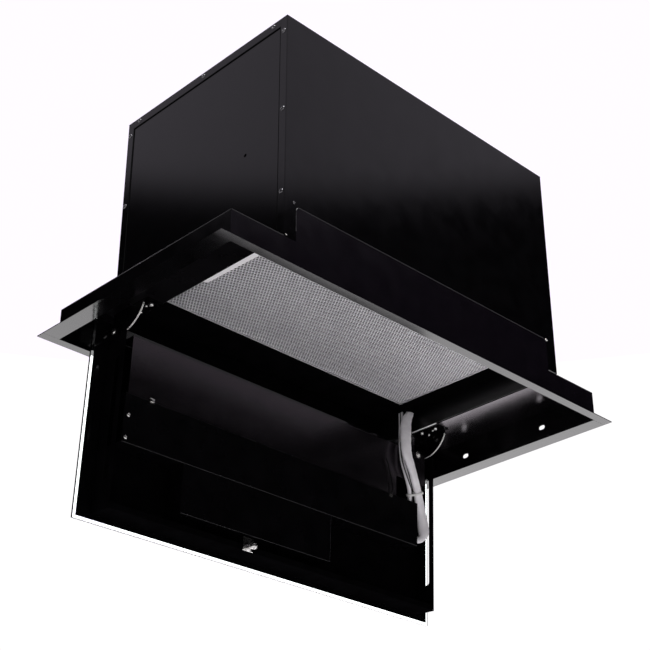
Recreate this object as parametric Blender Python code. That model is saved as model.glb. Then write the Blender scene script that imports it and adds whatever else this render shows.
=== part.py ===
"""Built-in ceiling hood with a drop-down perimeter-suction glass panel.

Frame: origin at the centre of the flange's underside, +X along the hood's length,
+Y towards the hinge side, +Z up.  Every length below is in millimetres and is scaled
to metres as its mesh is made.  The glass panel is modelled closed, in the coordinates
of its hinge axis (x along the axis, v away from the front edge, w up into the hood),
and is hung open by the empty that it is parented to.
"""

import math

import bmesh
import bpy
import numpy as np
from mathutils import Vector

MM = 0.001
GAP = 0.3                      # clearance between pieces that rest on each other
SHEET = 1.0                    # sheet metal thickness

# Trim flange and collar
FLANGE_LENGTH = 900.0
FLANGE_WIDTH = 437.5
FLANGE_THICK = 1.5
COLLAR_LENGTH = 842.0
COLLAR_WIDTH = 407.3
COLLAR_HEIGHT = 52.5
APRON_HEIGHT = 112.5           # the long rails rise to this height below the motor box
APRON_HALF_X = 297.0
APRON_CORNER = 7.0             # rounding of the apron's upper corners
AIR_HOLE_Y = 90.0
AIR_HOLE_Z = 22.5
AIR_HOLE_LENGTH = 13.0
AIR_HOLE_WIDTH = 8.0

# Motor box
BOX_LENGTH = 642.0
BOX_TOP = 463.5
RETURN_WIDTH = 15.0            # folded edges that lap onto the box ends
END_HOLE_Y = -111.0
END_HOLE_Z = 240.0
FOLD_RADIUS = 1.2

# Baffle plate and grease filter
BAFFLE_Z = 94.0
BAFFLE_SKIRT = 20.0
FILTER_LENGTH = 557.4
FILTER_WIDTH = 247.4
FILTER_THICK = 11.0
FILTER_BOTTOM = 93.0
FILTER_LIP = 2.0
CUTOUT_X = FILTER_LENGTH / 2 + 1.5
CUTOUT_Y = FILTER_WIDTH / 2 + 1.5
SPRING_LEAF = 0.8              # thickness of the filter's leaf springs

# Hinge and glass panel
PIVOT_Y = 147.75
PIVOT_Z = 17.3
OPEN_ANGLE = 92.4
GLASS_LENGTH = 775.2
GLASS_FRONT_V = -311.75
GLASS_REAR_V = 16.75
GLASS_OUTER_W = -14.5
GLASS_THICK = 4.0
TRAY_HALF_LENGTH = 356.0
TRAY_FRONT_V = -298.75
TRAY_REAR_V = -9.4
TRAY_TOP_W = 33.0
TRAY_FLOOR_W = -10.2
CHEEK_X = 351.0                # inner face of a hinge cheek
CHEEK_THICK = 2.0
PIVOT_HOLE = 3.3               # radius of the holes that the pivot screws pass through

# Covers, lamp and catch in the tray
COVER_REAR_V = -110.0
COVER_FRONT_V = -190.0
COVER_LEFT_X = -345.0
COVER_RIGHT_X = 313.0
COVER_TOP_W = TRAY_TOP_W - 0.4
COVER_FOOT_W = TRAY_FLOOR_W + SHEET + GAP
COVER_NOTCH = 50.0             # length of the cable notch at the cover's open end
UPPER_PLATE_V = -107.5
UPPER_PLATE_X = 338.0
UPPER_PLATE_W = TRAY_TOP_W - 5.0
UPPER_NOTCH_X = 262.0          # the plate's corner is cut away for the harness from here
UPPER_NOTCH_V = -70.0
LAMP_LOW_X = -300.0
LAMP_HIGH_X = 260.0
STUD_X = -85.0
STUD_V = -293.0

# Blower and duct
BLOWER_Y = -50.0
BLOWER_Z = 250.0
BLOWER_HALF_WIDTH = 80.0
SCROLL_START_RADIUS = 104.0
SCROLL_GROWTH = 44.0
SCROLL_WALL = 1.5
INLET_RADIUS = 72.0
IMPELLER_RADIUS = 92.0
DUCT_Y = 29.0
DUCT_RADIUS = 75.0
DUCT_HEIGHT = 50.0
FLAP_Z = 472.0
MAINS_X = 250.0
MAINS_Y = -120.0
AXLE_RADIUS = 4.0
AXLE_HOLE = AXLE_RADIUS + GAP

# Harness
GLAND_X = 299.0
GLAND_Y = 128.0
GLAND_HOLE = 17.3
SLEEVE_RADIUS = 8.0
CABLE_RADIUS = 4.3
SLEEVE_ROUTE = [
    (290.0, 122.0, 299.5), (291.0, 122.0, 270.0), (297.0, 123.0, 225.0), (301.0, 124.0, 180.0),
    (302.8, 124.2, 140.0), (302.8, 124.2, 110.0), (301.5, 123.8, 86.0), (284.5, 116.0, 56.0),
    (274.0, 108.0, 30.0), (267.5, 102.5, 6.0), (268.0, 101.3, -14.0), (276.5, 102.5, -30.0),
    (287.3, 105.7, -45.5), (298.7, 110.5, -60.0), (311.0, 116.5, -73.5), (321.0, 122.5, -88.0),
    (327.5, 126.0, -102.0), (331.5, 127.5, -117.0), (335.0, 127.5, -132.0), (335.0, 128.0, -146.0),
    (328.0, 131.0, -156.0), (315.0, 134.5, -159.0), (300.0, 137.0, -155.0), (285.0, 138.0, -147.0),
    (270.0, 138.5, -139.0),
]
CABLE_ROUTE = [
    (270.0, 150.0, 299.5), (272.0, 149.0, 270.0), (280.0, 144.0, 225.0), (287.0, 138.5, 180.0),
    (291.5, 135.4, 150.0), (292.2, 134.8, 125.0), (292.2, 134.8, 100.0), (291.5, 134.4, 84.0),
    (287.0, 130.5, 60.0), (278.8, 124.0, 35.0), (272.5, 118.5, 18.0), (269.5, 115.5, 0.0),
    (270.5, 115.0, -19.0), (274.0, 114.8, -34.5), (280.5, 116.0, -48.0), (287.8, 118.3, -60.0),
    (295.5, 121.7, -71.5), (302.5, 127.5, -83.0), (306.0, 132.5, -92.0), (304.0, 137.0, -103.0),
    (296.0, 139.5, -112.0), (282.0, 140.0, -118.0), (265.0, 140.0, -121.0), (246.0, 140.0, -122.0),
]

HALF_COLLAR_X = COLLAR_LENGTH / 2
HALF_COLLAR_Y = COLLAR_WIDTH / 2
HALF_BOX_X = BOX_LENGTH / 2
INNER_Y = HALF_COLLAR_Y - SHEET - GAP        # reach of what fits between the long walls


# ---------------------------------------------------------------- materials

def material(name, colour, roughness, metallic=0.0):
    """Principled material shared by the sub-parts made of the same stuff."""
    found = bpy.data.materials.get(name)
    if found:
        return found
    made = bpy.data.materials.new(name)
    made.use_nodes = True
    shader = made.node_tree.nodes["Principled BSDF"]
    shader.inputs["Base Color"].default_value = (*colour, 1.0)
    shader.inputs["Roughness"].default_value = roughness
    shader.inputs["Metallic"].default_value = metallic
    return made


BLACK_PAINT = ("black_paint", (0.012, 0.012, 0.013), 0.28)
BLACK_GLOSS = ("black_gloss_trim", (0.010, 0.010, 0.011), 0.12)
BLACK_GLASS = ("black_glass", (0.006, 0.006, 0.007), 0.04)
BLACK_PLASTIC = ("black_plastic", (0.02, 0.02, 0.02), 0.45)
GREY_SLEEVE = ("grey_sleeve", (0.55, 0.53, 0.52), 0.5)
WHITE_PLASTIC = ("white_plastic", (0.85, 0.85, 0.84), 0.45)
ALUMINIUM = ("aluminium", (0.80, 0.80, 0.81), 0.35, 1.0)
ZINC = ("zinc_steel", (0.62, 0.63, 0.65), 0.35, 1.0)
BRIGHT_STEEL = ("bright_steel", (0.75, 0.75, 0.76), 0.18, 1.0)
BOARD_GREEN = ("circuit_board", (0.03, 0.16, 0.07), 0.5)
LAMP_WHITE = ("lamp_diffuser", (0.9, 0.9, 0.88), 0.4)


# ---------------------------------------------------------------- mesh helpers

def add_object(name, bm, finish, parent=None):
    """Name a mesh, give it its material and hang it on its parent."""
    bmesh.ops.recalc_face_normals(bm, faces=bm.faces)
    mesh = bpy.data.meshes.new(name)
    bm.to_mesh(mesh)
    bm.free()
    mesh.shade_smooth()
    mesh.set_sharp_from_angle(angle=math.radians(32))
    mesh.materials.append(material(*finish))
    made = bpy.data.objects.new(name, mesh)
    bpy.context.scene.collection.objects.link(made)
    made.parent = parent
    return made


def cells(solids, cuts=(), place=None):
    """Closed mesh of the union of boxes less other boxes, walked on their shared grid.

    A box is (x0, x1, y0, y1, z0, z1).  With place, the first axis is an angle that runs
    from 0 to 360 degrees and closes on itself, and place turns a grid point into x, y, z.
    """
    grid = [sorted({box[2 * axis + side] for box in (*solids, *cuts) for side in (0, 1)})
            for axis in range(3)]
    centre = [[(a + b) / 2 for a, b in zip(line, line[1:])] for line in grid]
    mesh_x, mesh_y, mesh_z = np.meshgrid(*centre, indexing="ij")

    def inside(box):
        return ((mesh_x > box[0]) & (mesh_x < box[1]) & (mesh_y > box[2])
                & (mesh_y < box[3]) & (mesh_z > box[4]) & (mesh_z < box[5]))

    full = np.zeros(mesh_x.shape, dtype=bool)
    for box in solids:
        full |= inside(box)
    for box in cuts:
        full &= ~inside(box)
    padded = np.pad(full, 1)
    if place:
        padded[0] = padded[-2]
        padded[-1] = padded[1]
    bm = bmesh.new()
    corners = {}

    def corner(index):
        if place:
            index = (index[0] % (len(grid[0]) - 1), *index[1:])
        if index not in corners:
            point = [grid[k][index[k]] for k in range(3)]
            corners[index] = bm.verts.new([c * MM for c in (place(*point) if place else point)])
        return corners[index]

    for i, j, k in np.argwhere(full):
        for axis in range(3):
            others = [a for a in range(3) if a != axis]
            for side in (0, 1):
                beside = [i + 1, j + 1, k + 1]
                beside[axis] += 1 if side else -1
                if padded[tuple(beside)]:
                    continue
                base = [i, j, k]
                base[axis] += side
                loop = []
                for du, dv in ((0, 0), (1, 0), (1, 1), (0, 1)):
                    point = list(base)
                    point[others[0]] += du
                    point[others[1]] += dv
                    loop.append(corner(tuple(point)))
                bm.faces.new(loop)
    return bm


def prism(outline, axis, low, high):
    """Extrude a closed outline along an axis; the outline is in the other two axes' order."""
    others = [a for a in range(3) if a != axis]
    bm = bmesh.new()
    ends = []
    for level in (low, high):
        ring = []
        for u, v in outline:
            point = [0.0, 0.0, 0.0]
            point[others[0]] = u * MM
            point[others[1]] = v * MM
            point[axis] = level * MM
            ring.append(bm.verts.new(point))
        ends.append(ring)
    bm.faces.new(ends[0])
    bm.faces.new(ends[1])
    count = len(outline)
    for i in range(count):
        j = (i + 1) % count
        bm.faces.new((ends[0][i], ends[0][j], ends[1][j], ends[1][i]))
    return bm


def arc(centre, radius, start, end, steps):
    """Points along an arc, angles in degrees."""
    points = []
    for i in range(steps + 1):
        angle = math.radians(start + (end - start) * i / steps)
        points.append((centre[0] + radius * math.cos(angle), centre[1] + radius * math.sin(angle)))
    return points


def circle(centre, radius, steps):
    """Points round a full circle."""
    return arc(centre, radius, 0, 360, steps)[:-1]


def obround(centre, length, width):
    """Outline of a lengthwise slot with round ends."""
    half = (length - width) / 2
    right = arc((centre[0] + half, centre[1]), width / 2, -90, 90, 8)
    left = arc((centre[0] - half, centre[1]), width / 2, 90, 270, 8)
    return right + left


def rounded_path(path, radii, steps=3):
    """Replace the inner corners of an open path by arcs of the given radii."""
    points = [path[0]]
    for before, here, after, radius in zip(path, path[1:], path[2:], radii):
        a = Vector(before) - Vector(here)
        b = Vector(after) - Vector(here)
        if radius <= 0:
            points.append(here)
            continue
        half = a.angle(b) / 2
        reach = radius / math.tan(half)
        centre = Vector(here) + (a.normalized() + b.normalized()).normalized() * radius / math.sin(half)
        first = Vector(here) + a.normalized() * reach - centre
        last = Vector(here) + b.normalized() * reach - centre
        sweep = first.angle_signed(last)
        start = math.atan2(first.y, first.x)
        for i in range(steps + 1):
            angle = start - sweep * i / steps
            points.append((centre.x + radius * math.cos(angle), centre.y + radius * math.sin(angle)))
    points.append(path[-1])
    return points


def folded_sheet(path, thickness=SHEET, radius=FOLD_RADIUS):
    """Outline of a sheet folded along a path; its thickness lies to the path's left."""
    steps = [Vector(b) - Vector(a) for a, b in zip(path, path[1:])]
    normals = [Vector((-s.y, s.x)).normalized() for s in steps]
    inner = [Vector(path[0]) + normals[0] * thickness]
    outer_radii = []
    inner_radii = []
    for here, before, after in zip(path[1:], normals, normals[1:]):
        mitre = (before + after) * thickness / (1 + before.dot(after))
        inner.append(Vector(here) + mitre)
        turns_left = before.x * after.y - before.y * after.x > 0
        outer_radii.append(radius if turns_left else max(radius - thickness, 0.0))
        inner_radii.append(max(radius - thickness, 0.0) if turns_left else radius)
    inner.append(Vector(path[-1]) + normals[-1] * thickness)
    face = rounded_path(path, outer_radii)
    back = rounded_path([tuple(p) for p in inner], inner_radii)
    return face + back[::-1]


def turned(profile, steps, centre, axis=2):
    """Turn a closed (radius, height) profile about an axis through a centre."""
    others = [(axis + 1) % 3, (axis + 2) % 3]
    bm = bmesh.new()
    rings = []
    for i in range(steps):
        angle = 2 * math.pi * i / steps
        ring = []
        for radius, height in profile:
            point = [0.0, 0.0, 0.0]
            point[others[0]] = centre[others[0]] + radius * math.cos(angle)
            point[others[1]] = centre[others[1]] + radius * math.sin(angle)
            point[axis] = centre[axis] + height
            ring.append(point)
        rings.append(ring)
    verts = []
    axis_points = {}
    for ring in rings:
        row = []
        for k, point in enumerate(ring):
            if profile[k][0] == 0:
                if k not in axis_points:
                    axis_points[k] = bm.verts.new([c * MM for c in point])
                row.append(axis_points[k])
            else:
                row.append(bm.verts.new([c * MM for c in point]))
        verts.append(row)
    count = len(profile)
    for i in range(steps):
        a = verts[i]
        b = verts[(i + 1) % steps]
        for k in range(count):
            n = (k + 1) % count
            loop = []
            for vert in (a[k], a[n], b[n], b[k]):
                if vert not in loop:
                    loop.append(vert)
            if len(loop) > 2:
                bm.faces.new(loop)
    return bm


def combine(target, bm, operation):
    """Join a helper solid to an object, or cut it away, with a Boolean modifier."""
    index = len(target.modifiers)
    tool = add_object(f"{target.name}_tool_{index}", bm, BLACK_PAINT, target.parent)
    tool.hide_render = True
    tool.display_type = "WIRE"
    tool.hide_set(True)
    modifier = target.modifiers.new(f"shape_{index}", "BOOLEAN")
    modifier.operation = operation
    modifier.object = tool
    modifier.solver = "EXACT"


def smooth_route(points, spacing):
    """Evenly spaced points on a smooth curve through a route's own points."""
    ends = [2 * Vector(points[0]) - Vector(points[1])]
    route = ends + [Vector(p) for p in points] + [2 * Vector(points[-1]) - Vector(points[-2])]
    dense = []
    for p0, p1, p2, p3 in zip(route, route[1:], route[2:], route[3:]):
        for i in range(24):
            t = i / 24
            dense.append(0.5 * (2 * p1 + (p2 - p0) * t + (2 * p0 - 5 * p1 + 4 * p2 - p3) * t * t
                                + (3 * p1 - p0 - 3 * p2 + p3) * t ** 3))
    dense.append(Vector(points[-1]))
    lengths = [0.0]
    for a, b in zip(dense, dense[1:]):
        lengths.append(lengths[-1] + (b - a).length)
    count = max(2, round(lengths[-1] / spacing))
    even = []
    for i in range(count + 1):
        goal = lengths[-1] * i / count
        k = min(max(1, int(np.searchsorted(lengths, goal))), len(dense) - 1)
        share = (goal - lengths[k - 1]) / (lengths[k] - lengths[k - 1])
        even.append(dense[k - 1].lerp(dense[k], share))
    return even


def tube(name, points, radius, finish, spacing):
    """A round cord along a smooth route, closed at both ends."""
    curve = bpy.data.curves.new(name, "CURVE")
    curve.dimensions = "3D"
    curve.bevel_depth = radius * MM
    curve.bevel_resolution = 2
    curve.use_fill_caps = True
    spline = curve.splines.new("POLY")
    route = smooth_route(points, spacing)
    spline.points.add(len(route) - 1)
    for knot, place in zip(spline.points, route):
        knot.co = (*(place * MM), 1.0)
    curve.materials.append(material(*finish))
    made = bpy.data.objects.new(name, curve)
    bpy.context.scene.collection.objects.link(made)


def mirrored(box, axis=0):
    """The same box on the other side of the hood's centre plane."""
    low, high = box[2 * axis], box[2 * axis + 1]
    flipped = list(box)
    flipped[2 * axis], flipped[2 * axis + 1] = -high, -low
    return tuple(flipped)


def empty(name, location, rotation=(0.0, 0.0, 0.0)):
    """A pivot that pieces hang on; location in millimetres."""
    made = bpy.data.objects.new(name, None)
    bpy.context.scene.collection.objects.link(made)
    made.location = [c * MM for c in location]
    made.rotation_euler = rotation
    return made


# ---------------------------------------------------------------- flange and collar

def make_long_rail(name, side):
    """Long trim strip with the collar wall and the apron below the motor box."""
    inner = HALF_COLLAR_Y - SHEET
    flange = (-FLANGE_LENGTH / 2, FLANGE_LENGTH / 2, inner, FLANGE_WIDTH / 2, 0, FLANGE_THICK)
    rail = add_object(name, cells([flange if side > 0 else mirrored(flange, 1)]), BLACK_GLOSS)
    shoulder = APRON_HALF_X - APRON_CORNER
    top = APRON_HEIGHT - APRON_CORNER
    wall = [(-HALF_COLLAR_X, FLANGE_THICK / 2), (HALF_COLLAR_X, FLANGE_THICK / 2),
            (HALF_COLLAR_X, COLLAR_HEIGHT), (APRON_HALF_X, COLLAR_HEIGHT)]
    wall += arc((shoulder, top), APRON_CORNER, 0, 90, 5)
    wall += arc((-shoulder, top), APRON_CORNER, 90, 180, 5)
    wall += [(-APRON_HALF_X, COLLAR_HEIGHT), (-HALF_COLLAR_X, COLLAR_HEIGHT)]
    low, high = sorted((side * inner, side * HALF_COLLAR_Y))
    combine(rail, prism(wall, 1, low, high), "UNION")


def make_end_rail(name, side):
    """Short trim strip between the long ones, with its wall and two oblong holes."""
    solids = [
        (HALF_COLLAR_X - SHEET, FLANGE_LENGTH / 2, -INNER_Y, INNER_Y, 0, FLANGE_THICK),
        (HALF_COLLAR_X - SHEET, HALF_COLLAR_X, -INNER_Y, INNER_Y, 0, COLLAR_HEIGHT),
    ]
    if side < 0:
        solids = [mirrored(box) for box in solids]
    rail = add_object(name, cells(solids), BLACK_GLOSS)
    for hole_y in (-AIR_HOLE_Y, AIR_HOLE_Y):
        outline = obround((hole_y, AIR_HOLE_Z), AIR_HOLE_LENGTH, AIR_HOLE_WIDTH)
        ends = sorted((side * (HALF_COLLAR_X - 3 * SHEET), side * (HALF_COLLAR_X + 2 * SHEET)))
        combine(rail, prism(outline, 0, *ends), "DIFFERENCE")


def make_ceiling_plate(name, side):
    """Sheet that closes the collar between the motor box and the end rail."""
    box = (HALF_BOX_X + GAP, HALF_COLLAR_X - SHEET - GAP, -INNER_Y, INNER_Y,
           COLLAR_HEIGHT - SHEET, COLLAR_HEIGHT)
    add_object(name, cells([box if side > 0 else mirrored(box)]), BLACK_PAINT)


# ---------------------------------------------------------------- motor box

def make_long_panel(name, side):
    """Long side of the motor box, folded round onto both ends and down beside the apron."""
    face = side * HALF_COLLAR_Y
    edge = side * (HALF_COLLAR_Y - RETURN_WIDTH)
    path = [(-HALF_BOX_X, edge), (-HALF_BOX_X, face), (HALF_BOX_X, face), (HALF_BOX_X, edge)]
    if side > 0:
        path = path[::-1]
    outline = folded_sheet(path)
    bottom = COLLAR_HEIGHT + 2 * GAP + SHEET
    top = BOX_TOP - SHEET - GAP
    panel = add_object(name, prism(outline, 2, bottom, top), BLACK_PAINT)
    reach = APRON_HALF_X + GAP
    opening = [(-reach, bottom - SHEET), (reach, bottom - SHEET)]
    opening += arc((reach - APRON_CORNER, APRON_HEIGHT + GAP - APRON_CORNER), APRON_CORNER, 0, 90, 5)
    opening += arc((APRON_CORNER - reach, APRON_HEIGHT + GAP - APRON_CORNER), APRON_CORNER, 90, 180, 5)
    low, high = sorted((face - side * 3 * SHEET, face + side * SHEET))
    combine(panel, prism(opening, 1, low, high), "DIFFERENCE")


def make_end_panel(name, side):
    """End of the motor box, standing on the collar plate with an outward foot."""
    face = HALF_BOX_X - SHEET - GAP
    top = BOX_TOP - SHEET - GAP
    foot_reach = INNER_Y - RETURN_WIDTH
    solids = [
        (face - SHEET, face, -INNER_Y, INNER_Y, COLLAR_HEIGHT + GAP, top),
        (face - SHEET, face + RETURN_WIDTH, -foot_reach, foot_reach,
         COLLAR_HEIGHT + GAP, COLLAR_HEIGHT + GAP + SHEET),
    ]
    if side < 0:
        solids = [mirrored(box) for box in solids]
    panel = add_object(name, cells(solids), BLACK_PAINT)
    hole = circle((END_HOLE_Y, END_HOLE_Z), 3.0, 16)
    ends = sorted((side * (face - 3 * SHEET), side * (face + 2 * SHEET)))
    combine(panel, prism(hole, 0, *ends), "DIFFERENCE")


def make_top_panel():
    """Lid of the motor box with the duct hole and the cable entry."""
    reach = HALF_COLLAR_Y - RETURN_WIDTH - GAP
    solids = [(-HALF_BOX_X, HALF_BOX_X, -HALF_COLLAR_Y, HALF_COLLAR_Y, BOX_TOP - SHEET, BOX_TOP)]
    for side in (1, -1):
        fold = (HALF_BOX_X - SHEET, HALF_BOX_X, -reach, reach, BOX_TOP - RETURN_WIDTH, BOX_TOP)
        solids.append(fold if side > 0 else mirrored(fold))
    panel = add_object("top_panel", cells(solids), BLACK_PAINT)
    span = (BOX_TOP - 5 * SHEET, BOX_TOP + 5 * SHEET)
    combine(panel, prism(circle((0, DUCT_Y), DUCT_RADIUS - 2.0, 48), 2, *span), "DIFFERENCE")
    combine(panel, prism(circle((MAINS_X, MAINS_Y), 10.5, 20), 2, *span), "DIFFERENCE")


def make_mains_gland():
    """Cable entry for the mains lead, in the lid."""
    profile = [(6, -9), (14, -9), (14, -SHEET - GAP), (10, -SHEET - GAP), (10, GAP), (15, GAP),
               (15, 6), (11, 16), (6, 16)]
    add_object("mains_gland", turned(profile, 20, (MAINS_X, MAINS_Y, BOX_TOP)), BLACK_PLASTIC)


# ---------------------------------------------------------------- baffle and filter

def make_baffle():
    """Plate that carries the filter, with its skirts turned up along the box walls."""
    reach_x = HALF_BOX_X - 2 * SHEET - 2 * GAP
    plate = (-reach_x, reach_x, -INNER_Y, INNER_Y, BAFFLE_Z, BAFFLE_Z + SHEET)
    skirt_top = BAFFLE_Z + BAFFLE_SKIRT
    solids = [
        plate,
        (-reach_x, reach_x, -INNER_Y, -INNER_Y + SHEET, BAFFLE_Z, skirt_top),
        (-reach_x, reach_x, INNER_Y - SHEET, INNER_Y, BAFFLE_Z, skirt_top),
        (-reach_x, -reach_x + SHEET, -INNER_Y, INNER_Y, BAFFLE_Z, skirt_top),
        (reach_x - SHEET, reach_x, -INNER_Y, INNER_Y, BAFFLE_Z, skirt_top),
    ]
    cutout = (-CUTOUT_X, CUTOUT_X, -CUTOUT_Y, CUTOUT_Y, BAFFLE_Z - SHEET, BAFFLE_Z + 2 * SHEET)
    baffle = add_object("baffle_plate", cells(solids, [cutout]), BLACK_GLOSS)
    hole = circle((GLAND_X, GLAND_Y), GLAND_HOLE, 28)
    combine(baffle, prism(hole, 2, BAFFLE_Z - 5 * SHEET, BAFFLE_Z + 5 * SHEET), "DIFFERENCE")


def make_filter_ledge():
    """Strip on the baffle whose lip keeps the filter's rear tabs down."""
    base = BAFFLE_Z + SHEET + GAP
    lip_z = FILTER_BOTTOM + FILTER_THICK + 3.0
    riser_y = CUTOUT_Y + 8.0
    solids = [
        (-200, 200, riser_y, riser_y + 14, base, base + SHEET),
        (-200, 200, riser_y, riser_y + SHEET, base, lip_z),
        (-200, 200, riser_y - 14, riser_y + SHEET, lip_z, lip_z + SHEET),
    ]
    add_object("filter_rear_ledge", cells(solids), ZINC)


def make_filter_clip(name, centre_x):
    """Leaf spring on the baffle that presses on the filter's front edge."""
    base = BAFFLE_Z + SHEET + GAP
    edge = -FILTER_WIDTH / 2 - GAP
    foot = -CUTOUT_Y - 16
    solids = [
        (centre_x - 14, centre_x + 14, foot, edge, base, base + SPRING_LEAF),
        (centre_x - 14, centre_x + 14, edge - SPRING_LEAF, edge, base, base + 9.0),
    ]
    add_object(name, cells(solids), BRIGHT_STEEL)


def make_filter(pivot):
    """Aluminium grease filter, hung on its rear lower edge."""
    half_x = FILTER_LENGTH / 2
    rear = 0.0
    front = -FILTER_WIDTH
    low = FILTER_BOTTOM - pivot.location.z / MM
    high = low + FILTER_THICK
    shell = (-half_x, half_x, front, rear, low, high)
    channel = (-half_x + SHEET, half_x - SHEET, front + SHEET, rear - SHEET,
               low + SHEET, high - SHEET)
    window = (-half_x + FILTER_LIP, half_x - FILTER_LIP, front + FILTER_LIP, rear - FILTER_LIP,
              low - SHEET, high + SHEET)
    tab_low = BAFFLE_Z + SHEET + GAP - pivot.location.z / MM
    tabs = [(x - 15, x + 15, rear - SHEET, rear + 6.0, tab_low, tab_low + SHEET)
            for x in (-150.0, 150.0)]
    shell_cells = cells([shell], [channel, window])
    frame = add_object("filter_frame", shell_cells, ALUMINIUM, pivot)
    for tab in tabs:
        combine(frame, cells([tab]), "UNION")
    core = (-half_x + SHEET + GAP, half_x - SHEET - GAP,
            front + SHEET + GAP, rear - SHEET - GAP)
    face_low = low + SHEET + GAP
    add_object("filter_face", cells([(*core, face_low, face_low + SHEET)]), ALUMINIUM, pivot)
    mesh_low = face_low + SHEET + GAP
    mesh_high = high - SHEET - GAP
    add_object("filter_mesh", cells([(*core, mesh_low, mesh_high)]), ALUMINIUM, pivot)
    grip_front = front + 1.0
    grip = [
        (-24, 24, grip_front, grip_front + 6.0, low - GAP - 1.2, low - GAP),
        (-24, 24, grip_front, grip_front + 1.2, low - 13.0, low - GAP),
        (-24, 24, grip_front, grip_front + 8.0, low - 13.0, low - 11.8),
    ]
    add_object("filter_pull", cells(grip), BLACK_PLASTIC, pivot)


# ---------------------------------------------------------------- blower and duct

def scroll_outline(inset):
    """Scroll of the blower in (y, z): a growing radius that runs into the outlet duct."""
    points = []
    for i in range(31):
        turn = i / 30
        radius = SCROLL_START_RADIUS + SCROLL_GROWTH * turn - inset
        angle = math.radians(60 + 300 * turn)
        points.append((BLOWER_Y + radius * math.cos(angle), BLOWER_Z + radius * math.sin(angle)))
    outer_y = BLOWER_Y + SCROLL_START_RADIUS + SCROLL_GROWTH - inset
    top = BOX_TOP - SHEET - GAP - 4.0 + (20.0 if inset else 0.0)
    points.append((outer_y, top))
    points.append((BLOWER_Y + 12.0 + inset, top))
    return points


def make_scroll_half(name, side):
    """One half of the double-inlet scroll casing, with its inlet; the halves meet at x = 0."""
    low, high = sorted((side * GAP / 2, side * BLOWER_HALF_WIDTH))
    half = add_object(name, prism(scroll_outline(0.0), 0, low, high), ZINC)
    low, high = sorted((-side * SCROLL_WALL, side * (BLOWER_HALF_WIDTH - SCROLL_WALL)))
    combine(half, prism(scroll_outline(SCROLL_WALL), 0, low, high), "DIFFERENCE")
    inlet = circle((BLOWER_Y, BLOWER_Z), INLET_RADIUS, 36)
    reach = BLOWER_HALF_WIDTH + 10.0
    combine(half, prism(inlet, 0, -reach, reach), "DIFFERENCE")


def make_impeller(pivot):
    """Drum impeller: a centre disc with its hub, straight blades and two end rings."""
    blades = 24
    half = BLOWER_HALF_WIDTH - 12.0
    blade_inner = IMPELLER_RADIUS - 18.0
    ring_inner = IMPELLER_RADIUS - 6.0
    solids = [
        (0, 360, AXLE_HOLE, IMPELLER_RADIUS, -1, 1),
        (0, 360, AXLE_HOLE, 12.0, -1, 14),
        (0, 360, ring_inner, IMPELLER_RADIUS, -half, -half + 4.0),
        (0, 360, ring_inner, IMPELLER_RADIUS, half - 4.0, half),
    ]
    pitch = 360 / blades
    for i in range(blades):
        solids.append((i * pitch, i * pitch + 1.2, blade_inner, IMPELLER_RADIUS, -half, half))

    def on_axle(angle, radius, along):
        turn = math.radians(angle)
        return along, radius * math.cos(turn), radius * math.sin(turn)

    add_object("impeller", cells(solids, place=on_axle), BLACK_PLASTIC, pivot)
    shaft = [(0, -45.7), (AXLE_RADIUS, -45.7), (AXLE_RADIUS, 16), (0, 16)]
    add_object("motor_shaft", turned(shaft, 16, (0, 0, 0), axis=0), BRIGHT_STEEL, pivot)


def make_motor():
    """Motor inside one end of the impeller, on a three-armed bracket."""
    profile = [(0, -79.7), (30, -79.7), (45, -72), (45, -54), (38, -48), (6, -48), (6, -56), (0, -56)]
    centre = (0, BLOWER_Y, BLOWER_Z)
    add_object("motor", turned(profile, 28, centre, axis=0), BLACK_PLASTIC)
    face = -BLOWER_HALF_WIDTH - GAP
    bracket = add_object(
        "motor_bracket",
        prism(circle((BLOWER_Y, BLOWER_Z), 26.0, 28), 0, face - 3.0, face), ZINC)
    for turn in (90, 210, 330):
        angle = math.radians(turn)
        along = Vector((math.cos(angle), math.sin(angle)))
        across = Vector((-along.y, along.x)) * 6.0
        middle = Vector((BLOWER_Y, BLOWER_Z))
        arm = [tuple(middle + along * 10 - across), tuple(middle + along * 86 - across),
               tuple(middle + along * 86 + across), tuple(middle + along * 10 + across)]
        combine(bracket, prism(arm, 0, face - 3.0, face), "UNION")


def make_duct():
    """Outlet spigot with its cross pin and the two non-return flaps."""
    base = BOX_TOP + GAP
    profile = [(DUCT_RADIUS - 1.5, base), (DUCT_RADIUS + 14, base), (DUCT_RADIUS + 14, base + 1.5),
               (DUCT_RADIUS, base + 1.5), (DUCT_RADIUS, base + DUCT_HEIGHT),
               (DUCT_RADIUS - 1.5, base + DUCT_HEIGHT)]
    add_object("duct_spigot", turned(profile, 48, (0, DUCT_Y, 0)), BLACK_PLASTIC)
    pin_half = DUCT_RADIUS - 1.5 - GAP
    pin = [(0, -pin_half), (1.5, -pin_half), (1.5, pin_half), (0, pin_half)]
    add_object("damper_pin", turned(pin, 12, (0, DUCT_Y, FLAP_Z), axis=1), BRIGHT_STEEL)
    for name, side in (("damper_flap_left", -1), ("damper_flap_right", 1)):
        hinge = empty(f"{name}_pivot", (side * 2.5, DUCT_Y, FLAP_Z))
        radius = DUCT_RADIUS - 2.5
        outline = [(side * p[0], p[1]) for p in arc((-2.5, 0), radius, -87, 87, 20)]
        add_object(name, prism(outline, 2, -0.5, 0.5), BLACK_PLASTIC, hinge)


# ---------------------------------------------------------------- electrics in the box

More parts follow.
